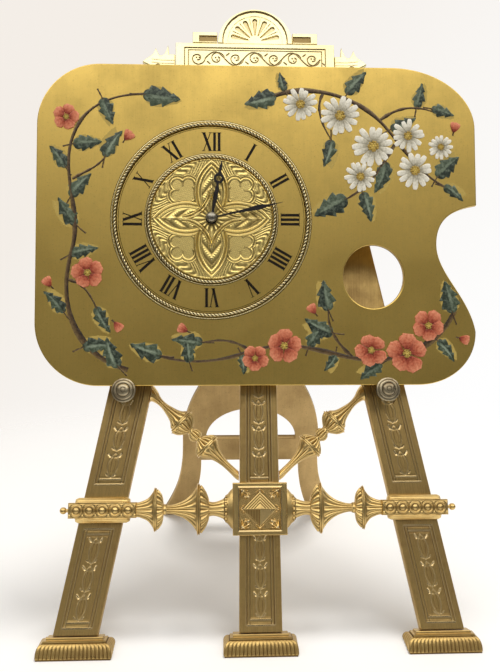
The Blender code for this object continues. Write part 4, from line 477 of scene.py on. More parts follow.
# Place along the spindle and half height, then how deep its flutes are and how many show
SPINDLE = (
    (0.0, 0.78, 0.0, 5), (0.025, 0.70, 0.0, 5), (0.055, 0.56, 0.0, 5), (0.08, 0.50, 0.0, 5),
    (0.084, 0.44, 0.3, 5), (0.136, 0.32, 0.55, 5), (0.21, 0.26, 0.6, 5), (0.245, 0.29, 0.6, 5),
    (0.249, 0.40, 0.1, 9), (0.264, 0.55, 0.5, 9), (0.30, 0.79, 0.7, 9), (0.330, 0.91, 0.7, 9),
    (0.337, 0.88, 0.0, 9), (0.342, 0.94, 0.0, 9), (0.349, 0.98, 0.0, 9), (0.354, 0.93, 0.0, 9),
    (0.364, 1.0, 0.0, 9), (0.372, 0.93, 0.0, 9), (0.376, 0.84, 0.0, 7), (0.384, 0.80, 0.4, 7),
    (0.41, 0.66, 0.6, 7), (0.48, 0.41, 0.65, 7), (0.57, 0.24, 0.65, 7), (0.68, 0.16, 0.6, 7),
    (0.69, 0.19, 0.0, 7), (0.705, 0.21, 0.0, 9), (0.715, 0.20, 0.2, 9), (0.724, 0.42, 0.5, 9),
    (0.755, 0.67, 0.7, 9), (0.778, 0.77, 0.7, 9), (0.784, 0.74, 0.0, 9), (0.790, 0.80, 0.0, 9),
    (0.796, 0.83, 0.0, 9), (0.801, 0.79, 0.0, 9), (0.810, 0.85, 0.0, 9), (0.818, 0.80, 0.0, 9),
    (0.822, 0.72, 0.0, 7), (0.83, 0.67, 0.4, 7), (0.865, 0.49, 0.6, 7), (0.936, 0.33, 0.6, 7),
    (0.985, 0.28, 0.5, 7), (1.0, 0.28, 0.5, 7),
)
SPINDLE_NEAR = BLOCK_HALF - 0.1 * MM
SPINDLE_LENGTH = leg_centre(RAIL_HEIGHT) - END_HALF + 0.2 * MM - SPINDLE_NEAR
NECK_BEADS_AT = 0.072
# Radius and height of a bead, in millimetres
BEAD_DOME = ((1.0, 0.4), (0.95, -0.12), (0.72, -0.15), (0.66, -0.5), (0.4, -0.85), (0.08, -0.95))
# The moulding over and under an end block: share of its height, then of its depth
CORNICE = ((0.0, 1.0), (0.12, 1.06), (0.30, 1.0), (0.36, 0.86), (0.62, 0.80), (0.70, 0.66), (0.9, 0.60),
           (1.0, 0.5))
STATION_STEP = 0.28 * MM
SECTION_POINTS = 85
BRIGHT_BRASS = ((0.80, 0.58, 0.23), (0.46, 0.31, 0.12), (0.17, 0.10, 0.032))

rail_finish = metal("chased cast brass", BRIGHT_BRASS, 700.0, stain=0.55, stain_size=60.0,
                    rough=0.27, streak=0.25, bump=0.03)


def edge_round(x, z, half_x, half_z, radius):
    """How far a front falls back near the sides of a rectangle, for a rounded edge."""
    return rounded(np.maximum(np.abs(x) - half_x, np.abs(z) - half_z), radius)


def fluted_section(middle, across, half, depth, flute, count, back):
    """One half-round section with a flat back, its flutes cut between rounded ridges."""
    turns = np.linspace(-pi / 2, pi / 2, SECTION_POINTS)
    lobe = 1 - np.abs(np.cos(count * (turns + pi / 2)))
    lobe = np.where(np.abs(turns) > pi / 2 * 0.985, lobe * 0.3, lobe)
    sink = 1 - flute * 0.17 * lobe ** 1.3
    reach, forward = half * np.sin(turns) * sink, depth * np.cos(turns) * (1 - flute * 0.30 * lobe ** 1.3)
    points = [(middle[0] + across[0] * r, back - f, middle[1] + across[1] * r)
              for r, f in zip(reach, forward)]
    return points, flute * 0.95 * lobe ** 2.5


def smooth_course(stations, step, length):
    """Stations a step apart, with half heights on a curve through those given where flutes run."""
    places = np.array([s[0] for s in stations])
    halves = np.array([s[1] for s in stations])
    slopes = np.gradient(halves, places)
    rows = []
    for i, (near, far) in enumerate(zip(stations, stations[1:])):
        gap = far[0] - near[0]
        count = max(1, ceil(gap * length / step))
        curved = gap > 0.03
        for j in range(count):
            t = j / count
            half = near[1] + (far[1] - near[1]) * t
            if curved:
                chord = (far[1] - near[1]) / gap
                s0, s1 = (np.clip(slopes[k], min(0, 2 * chord), max(0, 2 * chord)) for k in (i, i + 1))
                half = ((2 * t ** 3 - 3 * t ** 2 + 1) * near[1] + (t ** 3 - 2 * t ** 2 + t) * gap * s0
                        + (3 * t ** 2 - 2 * t ** 3) * far[1] + (t ** 3 - t ** 2) * gap * s1)
            rows.append((near[0] + gap * t, half, near[2] + (far[2] - near[2]) * t, near[3]))
    return rows + [stations[-1]]


def spindle_mesh(side):
    """A fluted spindle of the rail, from the plaque block out to an end block."""
    sections, grooves = [], []
    for share, tall, flute, count in smooth_course(SPINDLE, STATION_STEP, SPINDLE_LENGTH):
        half = RIM_HALF * tall
        middle = (side * (SPINDLE_NEAR + SPINDLE_LENGTH * share), RAIL_HEIGHT)
        points, dirt = fluted_section(middle, (0.0, 1.0), half, SPINDLE_DEPTH + ROUND_SHARE * half, flute,
                                      round(count), -SEAT)
        sections.append(points)
        rim_cut = flute == 0.0 and round(share, 3) in (0.337, 0.354, 0.376, 0.784, 0.801, 0.822, 0.69)
        grooves.append(dirt + (0.8 if rim_cut else 0.32 if share < 0.08 else 0.0))
    return loft_mesh("spindle", sections, grooves)


def mm_line(points, base=0.0):
    """A line given in millimetres, its second numbers counted from a base."""
    return [(first * MM, base + second * MM) for first, second in points]


def bead_meshes(side):
    """The column of five cast beads between the block's cove and the spindle's neck."""
    half = RIM_HALF * 0.50
    beads = []
    for i in range(-2, 3):
        rise = i * 2.1 * MM
        face = -SEAT - (SPINDLE_DEPTH + ROUND_SHARE * half) * sqrt(1 - (rise / half) ** 2) + 0.1 * MM
        dome = mm_line(BEAD_DOME, face)
        spot = (side * (SPINDLE_NEAR + SPINDLE_LENGTH * NECK_BEADS_AT), RAIL_HEIGHT + rise)
        beads.append(turned_mesh("bead", dome, 16, spot, [0.9, 1.0, 1.0, 0.3, 0.0, 0.0]))
    return beads


def block_mesh():
    """The plaque block: a ruled border, a framed and stippled field, leaves in its corners and a diamond."""
    grid = np.linspace(-1.0, 1.0, 141)
    x, z = np.meshgrid(grid * BLOCK_HALF, grid * BLOCK_HALF_TALL)
    face = Engraving(x, z)
    square = np.maximum(np.abs(x), np.abs(z))
    for line in np.arange(-11.4, 11.5, 0.55):
        if abs(line) > 9.9:
            face.cut([(line * MM, -11 * MM), (line * MM, 11 * MM)], 0.3 * MM, 0.05 * MM, 0.45)
    field = square < 9.0 * MM
    face.depth = np.where(field, 0.5 * MM, face.depth)
    stipple = np.sin(x / MM * 7.3 + np.sin(z / MM * 5.1)) * np.sin(z / MM * 7.9 + np.sin(x / MM * 4.3))
    face.depth += np.where(field, 0.07 * MM * stipple, 0.0)
    face.dirt = np.where(field, 0.50 + 0.25 * stipple, face.dirt)
    corners = [(9.35 * sx, 9.35 * sz) for sx, sz in ((-1, -1), (1, -1), (1, 1), (-1, 1), (-1, -1))]
    face.raise_line(mm_line(corners), 0.8 * MM, 0.25 * MM)
    for sx in (-1, 1):
        for sz in (-1, 1):
            face.spray((sx * 8.2 * MM, sz * 8.2 * MM), atan2(-sz, -sx),
                       ((-0.72, 3.2), (-0.3, 4.1), (0.3, 4.1), (0.72, 3.2)), 0.95 * MM, 0.34 * MM, 1.0)
            for along, up in ((0.7, 1.7), (1.2, 1.2), (1.7, 0.7)):
                face.raise_line(mm_line([(sx * 4.75, sz * 4.75), (sx * (4.75 + along), sz * (4.75 + up))]),
                                0.8 * MM, 0.3 * MM, 1.0)
    for sx, sz in ((0, 1), (0, -1), (1, 0), (-1, 0)):
        face.spray((sx * 8.5 * MM, sz * 8.5 * MM), atan2(-sz, -sx), ((-0.8, 2.2), (0.0, 1.2), (0.8, 2.2)),
                   0.8 * MM, 0.25 * MM)
    diamond = (np.abs(x) + np.abs(z)) / DIAMOND_REACH
    inside = diamond < 1.0
    pyramid = 0.5 * MM - 1.5 * MM * (1 - diamond)
    face.depth = np.where(inside, np.minimum(pyramid, 0.5 * MM), face.depth)
    face.dirt = np.where(inside, 0.0, face.dirt)
    for share in (0.93, 0.76, 0.61, 0.46, 0.31):
        line = ridge((diamond - share) * DIAMOND_REACH / 1.414, 0.34 * MM)
        line = line * (inside & ((z > 0) | (share > 0.9)))
        face.depth += line * 0.18 * MM
        face.dirt = np.maximum(face.dirt, line)
    lower = inside & (diamond < 0.88) & (z < -0.3 * MM)
    face.dirt = np.where(lower & (x < 0), 0.35 + 0.6 * np.abs(np.sin(x / MM * 4.6)), face.dirt)
    face.shine = np.where(lower & (x > 0.2 * MM), 0.2, face.shine)
    front = BLOCK_FACE + face.depth + edge_round(x, z, BLOCK_HALF, BLOCK_HALF_TALL, 0.35 * MM)
    return plate_mesh("block", x, z + RAIL_HEIGHT, front, -SEAT, face.dirt, face.shine)


def end_block_mesh(side):
    """The band of an end block, with five cupped ring bosses and pairs of punched dots between them."""
    x, z = np.meshgrid(np.linspace(-END_HALF, END_HALF, 190), np.linspace(-END_BAND, END_BAND, 45))
    depth, dirt = np.zeros_like(x), np.full_like(x, 0.12)
    for i in range(5):
        away = np.hypot(x - (i - 2) * BOSS_PITCH, z)
        depth -= ridge(away - 2.15 * MM, 0.62 * MM) * 0.55 * MM
        depth -= np.where(away < 1.5 * MM, 0.45 * MM * np.cos(np.clip(away / (1.3 * MM), 0, 1) * pi / 2), 0.0)
        dirt = np.maximum(dirt, ridge(away - 1.45 * MM, 0.4 * MM) * 0.9)
        dirt = np.maximum(dirt, ridge(away - 2.95 * MM, 0.35 * MM) * 0.7)
    for i in range(6):
        for level in (-1, 1):
            away = np.hypot(x - (i - 2.5) * BOSS_PITCH, z - level * 2.2 * MM)
            depth -= ridge(away, 0.75 * MM) * 0.35 * MM
    for level in (-2.95, 2.95):
        line = ridge(z - level * MM, 0.3 * MM)
        depth += line * 0.14 * MM
        dirt = np.maximum(dirt, line * 0.8)
    front = BLOCK_FACE + depth + edge_round(x, z, END_HALF, END_BAND, 0.3 * MM)
    return plate_mesh("end", x + side * leg_centre(RAIL_HEIGHT), z + RAIL_HEIGHT, front, -SEAT, dirt)


def cornice_mesh(middle, low, high):
    """A small moulding along X between two heights, with its ends mitred."""
    sections = []
    for x, share in ((-END_LIP_HALF, 0.0), (-END_LIP_HALF + 0.25 * MM, 0.6), (-END_LIP_HALF + 1.6 * MM, 1.0),
                     (END_LIP_HALF - 1.6 * MM, 1.0), (END_LIP_HALF - 0.25 * MM, 0.6), (END_LIP_HALF, 0.0)):
        steep = (high - low) * (0.3 + 0.7 * share)
        section = [(x + middle, -SEAT, low), (x + middle, -SEAT, low + steep)]
        for tall, deep in reversed(CORNICE):
            reach = (BLOCK_FACE + SEAT) * (0.35 + 0.65 * share) * deep
            section.append((x + middle, -SEAT + reach, low + steep * tall))
        sections.append(section)
    return loft_mesh("cornice", sections)


def turned_mesh(name, profile, steps, spot=(0.0, 0.0), groove=None, lobes=0, lobe_depth=0.0):
    """A turned piece about Y from (radius, depth) points, with an even number of lobes where asked."""
    turns = np.arange(steps) * 2 * pi / steps
    swell = 1 - lobe_depth * (1 - np.abs(np.cos(turns * lobes / 2))) if lobes else np.ones(steps)
    sections = [[(spot[0] + r * s * cos(a), y, spot[1] + r * s * sin(a)) for a, s in zip(turns, swell)]
                for r, y in profile]
    rows = None if groove is None else [[g] * steps for g in groove]
    return loft_mesh(name, sections, rows)


def peg_meshes(height, root):
    """The three pegs of a casting that pass through the bars, with their round heads behind."""
    back = LEG_THICK + SEAT
    profile = [(1.0 * MM, root), (1.0 * MM, back)]
    profile += [(2.0 * MM * cos(t), back + 0.8 * MM * sin(t)) for t in np.linspace(0.0, 1.5, 8)]
    return [turned_mesh("peg", profile, 24, (side * leg_centre(height), height)) for side in (-1, 0, 1)]


def finial_mesh(side):
    """The small turned knob at the rail's end, about an axis along X."""
    shape = ((0.0, 0.62), (0.1, 0.55), (0.22, 0.50), (0.3, 0.52), (0.36, 0.80), (0.5, 0.98), (0.65, 1.0),
             (0.8, 0.92), (0.92, 0.66), (1.0, 0.25))
    start = leg_centre(RAIL_HEIGHT) + END_HALF - 0.05 * MM
    turns = np.arange(24) * 2 * pi / 24
    sections = []
    for share, wide in shape:
        radius = FINIAL_RADIUS * wide
        x = side * (start + FINIAL_REACH * share)
        sections.append([(x, -SEAT - FINIAL_RADIUS + radius * cos(a), RAIL_HEIGHT + radius * sin(a))
                         for a in turns])
    return loft_mesh("finial", sections)


rail_parts = [block_mesh()] + peg_meshes(RAIL_HEIGHT, -SPINDLE_DEPTH)
for side in (-1, 1):
    middle = side * leg_centre(RAIL_HEIGHT)
    rail_parts += [spindle_mesh(side), end_block_mesh(side), finial_mesh(side)] + bead_meshes(side)
    for up in (1, -1):
        low, high = RAIL_HEIGHT + up * (END_BAND - 0.1 * MM), RAIL_HEIGHT + up * END_TALL
        rail_parts.append(cornice_mesh(middle, low, high))
set_piece("cross_rail_casting", rail_parts, EASEL, rail_finish, "easel", "cross_rail",
          sharp=48.0)


# Braces: two small cast spindles with a knot in the middle, brazed slantwise between the side legs and
# the post above the rail.
BRACE_RIM = 6.8 * MM
BRACE_BACK = 3.4 * MM
BRACE_DEPTH = 2.6 * MM
BRACE_SHAPE = (
    (0.0, 0.58, 0.0, 5), (0.05, 0.32, 0.3, 5), (0.12, 0.22, 0.6, 5), (0.20, 0.32, 0.65, 5),
    (0.28, 0.55, 0.65, 5), (0.318, 0.78, 0.6, 5), (0.324, 0.76, 0.0, 9), (0.331, 0.90, 0.0, 9),
    (0.339, 0.86, 0.0, 9), (0.348, 1.0, 0.0, 9), (0.356, 0.93, 0.0, 9), (0.360, 0.92, 0.6, 9),
    (0.41, 0.68, 0.7, 9), (0.438, 0.40, 0.5, 9), (0.445, 0.30, 0.0, 6), (0.46, 0.27, 0.0, 6),
    (0.468, 0.34, 0.5, 6), (0.48, 0.42, 0.6, 6), (0.503, 0.47, 0.6, 6), (0.526, 0.42, 0.6, 6),
    (0.536, 0.34, 0.5, 6), (0.546, 0.27, 0.0, 6), (0.556, 0.30, 0.0, 9), (0.562, 0.38, 0.5, 9),
    (0.59, 0.70, 0.7, 9), (0.618, 0.90, 0.7, 9), (0.624, 0.85, 0.0, 9), (0.634, 0.95, 0.0, 9),
    (0.641, 0.90, 0.0, 9), (0.648, 0.97, 0.0, 9), (0.656, 0.80, 0.0, 5), (0.665, 0.78, 0.4, 5),
    (0.70, 0.57, 0.65, 5), (0.76, 0.37, 0.65, 5), (0.86, 0.23, 0.6, 5), (0.95, 0.24, 0.3, 5),
    (1.0, 0.27, 0.0, 5),
)
BRACE_LEG_HEIGHT = 111.8 * MM
BRACE_POST_HEIGHT = RAIL_HEIGHT + BLOCK_HALF_TALL + 2.6 * MM

for name, side in (("left", -1), ("right", 1)):
    start = Vector((leg_centre(BRACE_LEG_HEIGHT) - LEG_HALF - SEAT, BRACE_LEG_HEIGHT))
    end = Vector((leg_half(0, BRACE_POST_HEIGHT) + SEAT, BRACE_POST_HEIGHT))
    along = (end - start).normalized()
    square = Vector((along.y, -along.x))
    if square.y < 0:
        square = -square
    sections, grooves = [], []
    for share, wide, flute, count in smooth_course(BRACE_SHAPE, STATION_STEP, (end - start).length):
        half = BRACE_RIM * wide
        slant = Vector((-LEG_SLOPE, 1.0)).normalized() if share < 0.04 else square
        if share > 0.97:
            slant = Vector((-POST_SLOPE, 1.0)).normalized()
        ease = min(1.0, share / 0.04 if share < 0.04 else (1 - share) / 0.03 if share > 0.97 else 1.0)
        slant = slant.lerp(square, ease).normalized()
        middle = start.lerp(end, share)
        deep = BRACE_DEPTH + ROUND_SHARE * half
        points, dirt = fluted_section(middle, slant, half, deep, flute, round(count), BRACE_BACK)
        sections.append([(side * x, y, z) for x, y, z in points])
        grooves.append(dirt + (0.8 if round(share, 3) in (0.324, 0.339, 0.445, 0.546, 0.624, 0.641) else 0.0))
    set_piece(f"{name}_brace_casting", loft_mesh("brace", sections, grooves), EASEL, rail_finish, "easel",
              f"{name}_brace", sharp=48.0)

# Crest: a brass panel engraved with a running scroll inside a double line, with a pediment block cast on
# each shoulder. It is polished brighter than the legs and pegged to the tops of all three bars.
CREST_HALF = 39.0 * MM
CREST_LOW = 256.0 * MM
CREST_HIGH = 284.0 * MM
CREST_FACE = -SEAT - 3.2 * MM
PEDIMENT_HALF = 30.7 * MM
PEDIMENT_TALL = 5.8 * MM
FAN_RADIUS = 18.3 * MM
SCROLL_MIDDLE = 275.6 * MM
SCROLL_RADIUS = 3.7 * MM
SCROLL_PITCH = 9.4 * MM
CREST_BRASS = ((0.90, 0.80, 0.46), (0.72, 0.56, 0.24), (0.25, 0.15, 0.04))

crest_finish = metal("polished crest brass", CREST_BRASS, 900.0, stain=0.35, stain_size=45.0,
                     rough=0.30, streak=0.2, bump=0.02, pits=0.92)


half_tall = (CREST_HIGH - CREST_LOW) / 2
middle = (CREST_HIGH + CREST_LOW) / 2
x, z = np.meshgrid(np.linspace(-CREST_HALF, CREST_HALF, 340), np.linspace(-half_tall, half_tall, 124))
panel = Engraving(x, z + middle)
for inset, wide in ((4.4 * MM, 0.7 * MM), (6.3 * MM, 0.55 * MM)):
    left, right = -CREST_HALF + inset, CREST_HALF - inset
    low, high = CREST_LOW + inset * 0.75, CREST_HIGH - inset * 0.62
    panel.cut([(left, low), (right, low), (right, high), (left, high), (left, low)], wide, 0.3 * MM, 1.0)
for i in range(-3, 4):
    way = 1 if i % 2 else -1
    heart = (i * SCROLL_PITCH, SCROLL_MIDDLE)
    line = []
    for t in np.linspace(0, 1, 26):
        radius, turn = SCROLL_RADIUS * (1 - 0.72 * t), pi * (0.5 + 2.3 * t)
        line.append((heart[0] + radius * sin(turn), heart[1] + way * radius * cos(turn)))
    panel.cut(line, 0.75 * MM, 0.28 * MM, 1.0)
    link = [(line[0][0] + t * SCROLL_PITCH, line[0][1] + way * sin(pi * t) * SCROLL_RADIUS * 0.95)
            for t in np.linspace(0, 1, 12)]
    if i < 3:
        panel.cut(link, 0.75 * MM, 0.28 * MM, 1.0)
    for turn in (0.5, 2.6, 4.7):
        dot = (heart[0] + 0.85 * MM * cos(turn), heart[1] + 0.85 * MM * sin(turn))
        panel.cut([dot, (dot[0] + 0.2 * MM, dot[1])], 0.95 * MM, 0.3 * MM, 1.0)
    bud = (heart[0] + SCROLL_RADIUS * 1.25, SCROLL_MIDDLE - way * SCROLL_RADIUS * 0.45)
    panel.cut([bud, (bud[0] + 1.3 * MM, bud[1] - way * 1.1 * MM)], 0.8 * MM, 0.28 * MM, 0.9)
front = CREST_FACE + panel.depth + edge_round(x, z, CREST_HALF, half_tall, 0.5 * MM)
crest_parts = [plate_mesh("panel", x, z + middle, front, -SEAT, panel.dirt)]

inner = FAN_RADIUS + SEAT
half = (PEDIMENT_HALF - inner) / 2
for side in (-1, 1):
    x, z = np.meshgrid(np.linspace(-half, half, 56), np.linspace(-PEDIMENT_TALL / 2, PEDIMENT_TALL / 2, 34))
    slot = (side * x < half - 3.2 * MM) & (side * x > -half + 0.4 * MM) & (z > -2.1 * MM) & (z < 1.1 * MM)
    front = CREST_FACE + edge_round(x, z, half, PEDIMENT_TALL / 2, 0.4 * MM) + np.where(slot, 0.6 * MM, 0.0)
    x, z = x + side * (inner + half), z + CREST_HIGH + PEDIMENT_TALL / 2
    crest_parts.append(plate_mesh("pediment", x, z, front, -SEAT, np.where(slot, 0.9, 0.0)))
crest_parts += peg_meshes((CREST_LOW + LEG_TOP) / 2, -1.6 * MM)
set_piece("crest_panel_casting", crest_parts, EASEL, crest_finish, "easel", "crest_panel")


# Fan: a half-round brass plate brazed between the pediment blocks, with a raised rim and sunk petals
# that spread from the middle of its foot.
FAN_RIM = 2.4 * MM
FAN_LINE = 13.4 * MM
FAN_PETALS = 7
# A petal and the thin cut after it: place in the petal's share, start, end, half width and depth in
# millimetres, and dirt
FAN_CUTS = ((0.5, 3.2, 12.2, 1.25, 0.75, 0.42), (1.0, 6.0, 12.6, 0.3, 0.2, 0.3))

fan_finish = metal("fan brass", CREST_BRASS, 900.0, stain=0.3, stain_size=45.0, rough=0.28,
                   streak=0.2, bump=0.02, pits=0.85)
turns, reaches = np.meshgrid(np.linspace(pi, 0.0, 221), np.linspace(0.03 * MM, FAN_RADIUS, 96))
x, z = reaches * np.cos(turns), reaches * np.sin(turns)
away = np.hypot(x, z - FAN_RIM / 2)
rim_line, fine_line = ridge(away - (FAN_RADIUS - FAN_RIM), 0.45 * MM), ridge(away - FAN_LINE, 0.25 * MM)
depth = 0.6 * MM * np.clip((FAN_RADIUS - FAN_RIM - away) / (0.25 * MM), 0, 1)
depth += rim_line * 0.25 * MM + fine_line * 0.12 * MM
dirt = np.maximum(rim_line, fine_line * 0.3)
for i in range(FAN_PETALS):
    for share, near, far, wide, sink, soil in FAN_CUTS:
        turn = radians(180.0 * (i + share) / FAN_PETALS)
        if share == 1.0 and i == FAN_PETALS - 1:
            continue
        along = x * cos(turn) + (z - FAN_RIM / 2) * sin(turn)
        aside = -x * sin(turn) + (z - FAN_RIM / 2) * cos(turn)
        way = np.clip((along / MM - near) / (far - near), 0, 1)
        breadth = wide * MM * (0.15 + 0.85 * way ** 0.8) * np.sqrt(np.clip((far - along / MM) / 0.9, 0, 1))
        level = (along > near * MM) * (along < far * MM)
        inside = np.clip((breadth - np.abs(aside)) / (0.28 * MM), 0, 1) * level
        depth += inside * sink * MM
        beside = ridge(np.abs(aside) - breadth, 0.25 * MM) * level
        dirt = np.maximum(dirt, np.maximum(inside, beside) * soil)
front = CREST_FACE + depth + rounded(reaches - FAN_RADIUS, 0.4 * MM)
fan = plate_mesh("fan", x, z + CREST_HIGH + SEAT, front, -SEAT, dirt)
set_piece("fan_casting", fan, EASEL, fan_finish, "easel", "crest_fan")


# Side leaves: two small leaves cast in brass, each with raised ribs and a drilled eye. They are polished
# like the crest and brazed to its ends.
LEAF_LENGTH = 15.8 * MM
LEAF_HALF = 11.7 * MM
LEAF_THICK = 2.6 * MM
LEAF_EYE_AT = 0.53
LEAF_MIDDLE = middle + 1.4 * MM
LEAF_SIDE = ((0.0, 0.56), (0.19, 0.56), (0.205, 0.86), (0.22, 1.0), (0.26, 0.80), (0.33, 0.58), (0.40, 0.51),
             (0.47, 0.51), (0.53, 0.63), (0.60, 0.86), (0.63, 0.72), (0.67, 0.60), (0.74, 0.50), (0.82, 0.43),
             (0.92, 0.33), (1.0, 0.22), (0.90, 0.12), (0.79, 0.06))


def finished_mesh(holder):
    """The mesh of an object once its curve or its cut is worked out. The object itself goes."""
    bpy.context.view_layer.update()
    mesh = bpy.data.meshes.new_from_object(holder.evaluated_get(bpy.context.evaluated_depsgraph_get()))
    bpy.data.objects.remove(holder)
    return mesh


def sheet_mesh(name, outline, back, front, bevel, holes):
    """A flat piece cut to an outline in the XZ plane, with its holes, rounded edges and painted shade on its
    sides.
    """
    lines = bpy.data.curves.new(name, "CURVE")
    lines.dimensions = "2D"
    lines.fill_mode = "BOTH"
    for line in (outline, *holes):
        course = lines.splines.new("POLY")
        course.points.add(len(line) - 1)
        course.points.foreach_set("co", [c for px, pz in line for c in (px / MM, pz / MM, 0.0, 1.0)])
        course.use_cyclic_u = True
    lines.extrude = (abs(back - front) / 2 - bevel) / MM
    lines.bevel_depth = bevel / MM
    lines.offset = -bevel / MM
    lines.bevel_resolution = 3
    mesh = finished_mesh(in_scene(name, lines))
    points = np.zeros(len(mesh.vertices) * 3)
    mesh.vertices.foreach_get("co", points)
    across, up, deep = points.reshape(-1, 3).T * MM
    mesh.vertices.foreach_set("co", np.stack((across, (back + front) / 2 - deep, up), -1).ravel())
    bm = bmesh.new()
    bm.from_mesh(mesh)
    bmesh.ops.remove_doubles(bm, verts=bm.verts, dist=0.002 * MM)
    bm.normal_update()
    level = bm.faces.layers.int.new("level")
    for face in bm.faces:
        face[level] = int(abs(face.normal.y) > 0.9999)
    bm.to_mesh(mesh)
    bm.free()
    # Painted shade: the side walls and the back are marked dark, so that cut edges read dark instead of
    # bright.
    side_wall_shade = [0.75 if vert.co.y > front + 2 * bevel else 0.0 for vert in mesh.vertices]
    return mark_points(mesh, "groove", side_wall_shade)


def circle_line(radius, x, z, steps=48):
    """Points round a circle."""
    return [(x + radius * cos(a), z + radius * sin(a)) for a in np.arange(steps) * 2 * pi / steps]


for name, side in (("left", -1), ("right", 1)):
    start = CREST_HALF + SEAT
    upper = [(side * (start + LEAF_LENGTH * sx), LEAF_MIDDLE + LEAF_HALF * sz) for sx, sz in LEAF_SIDE]
    lower = [(px, 2 * LEAF_MIDDLE - pz) for px, pz in reversed(upper)]
    eye = circle_line(1.1 * MM, side * (start + LEAF_LENGTH * LEAF_EYE_AT), LEAF_MIDDLE, 24)
    parts = [sheet_mesh("leaf", upper + lower, -SEAT, -SEAT - LEAF_THICK, 0.5 * MM, [eye])]
    for share in (0.16, 0.30):
        for way in (-1, 1):
            sections = []
            for sx, sz in ((0.02, share), (0.40, share), (0.72, share + 0.05)):
                px, pz = side * (start + LEAF_LENGTH * sx), LEAF_MIDDLE + way * LEAF_HALF * sz
                sections.append([(px, -SEAT - LEAF_THICK - 0.22 * MM * cos(a), pz + 0.4 * MM * sin(a))
                                 for a in np.arange(8) * pi / 4])
            parts.append(loft_mesh("rib", sections))
    set_piece(f"{name}_leaf_casting", parts, EASEL, crest_finish, "easel", f"{name}_leaf")

# Palette: one sheet of brass sawn to a painter's palette, with rounded edges and a thumb hole. Its front
# was brushed up and down, lacquered, and has stained with handling.
PALETTE_LEAN = radians(15.0)
BOARD_FOOT = (-7.5 * MM, 114.5 * MM)
BOARD = EASEL @ Matrix.Translation((0.0, *BOARD_FOOT)) @ Matrix.Rotation(EASEL_LEAN - PALETTE_LEAN, 4, "X")
PALETTE_HALF = 99.0 * MM
PALETTE_TALL = 144.7 * MM
PALETTE_THICK = 3.0 * MM
CORNER = 28.0 * MM
WIDE_CORNER = 38.0 * MM
THUMB = (51.5 * MM, 48.6 * MM)
THUMB_HALF = (13.8 * MM, 14.4 * MM)
DIAL_AT = (-21.2 * MM, 74.2 * MM)
PIPE_HOLE = 2.05 * MM
NOTCH_TIP = (1.0, 0.562)
NOTCH_COURSE = (((0.888, 0.549), (0.812, 0.518), (0.812, 0.436)),
                ((0.812, 0.346), (0.958, 0.277), (0.986, 0.164)),
                ((0.986, 0.069), (0.868, 0.0), (0.72, 0.0)))
PALETTE_BRASS = ((0.80, 0.565, 0.15), (0.50, 0.36, 0.10), (0.22, 0.14, 0.045))

palette_finish = metal("brushed palette brass", PALETTE_BRASS, (1300.0, 1300.0, 26.0), stain=0.75,
                       stain_size=30.0, rough=0.285, streak=0.34, bump=0.004)


def arc_line(x, z, half_x, half_z, first, last, steps=24):
    """Points along part of an oval, between two angles in degrees."""
    return [(x + half_x * cos(radians(first + (last - first) * i / steps)),
             z + half_z * sin(radians(first + (last - first) * i / steps))) for i in range(steps + 1)]


def bent_line(start, course, steps=20):
    """Points along cubic curves that follow on from a start."""
    points = [start]
    for first, second, end in course:
        begin = points[-1]
        for i in range(1, steps + 1):
            t = i / steps
            weights = ((1 - t) ** 3, 3 * t * (1 - t) ** 2, 3 * t * t * (1 - t), t ** 3)
            corners = tuple(zip(weights, (begin, first, second, end)))
            points.append(tuple(sum(w * c[k] for w, c in corners) for k in (0, 1)))
    return points


outline = arc_line(CORNER - PALETTE_HALF, CORNER, CORNER, CORNER, 270.0, 180.0)
outline += arc_line(CORNER - PALETTE_HALF, PALETTE_TALL - CORNER, CORNER, CORNER, 180.0, 90.0)
outline += arc_line(PALETTE_HALF - WIDE_CORNER, PALETTE_TALL - CORNER, WIDE_CORNER, CORNER, 90.0, 0.0)
scaled = [tuple((PALETTE_HALF * px, PALETTE_TALL * pz) for px, pz in part) for part in NOTCH_COURSE]
outline += bent_line((PALETTE_HALF * NOTCH_TIP[0], PALETTE_TALL * NOTCH_TIP[1]), scaled)
thumb_hole = arc_line(*THUMB, *THUMB_HALF, 0.0, 354.0, 59)
set_piece("palette_sheet", sheet_mesh("palette", outline, 0.0, -PALETTE_THICK, 0.4 * MM,
                                      [thumb_hole, circle_line(PIPE_HOLE, *DIAL_AT)]),
          BOARD, palette_finish, "easel", "palette")

# Dial: rope-twisted brass wire in two rings soldered on the palette, with fine lines turned beside them,
# numerals in black wax between them, and a pressed gilt rosette inside the smaller ring.
DIAL = BOARD @ Matrix.Translation((DIAL_AT[0], 0.0, DIAL_AT[1]))
DIAL_FACE = -PALETTE_THICK
WIRE_RADIUS = 0.65 * MM
OUTER_RING = 43.1 * MM
INNER_RING = 28.2 * MM
LINE_STEPS = 240
RING_BRASS = ((1.0, 0.88, 0.52), (0.66, 0.50, 0.21), (0.035, 0.02, 0.008))
GILT = ((1.0, 0.80, 0.29), (0.72, 0.53, 0.18), (0.15, 0.09, 0.028))
BLACK_WAX = (0.010, 0.006, 0.003)
WORN_WAX = (0.10, 0.065, 0.02)

ring_finish = metal("rope wire brass", RING_BRASS, 600.0, stain=0.4, stain_size=90.0, rough=0.24,
                    streak=0.2, bump=0.02)


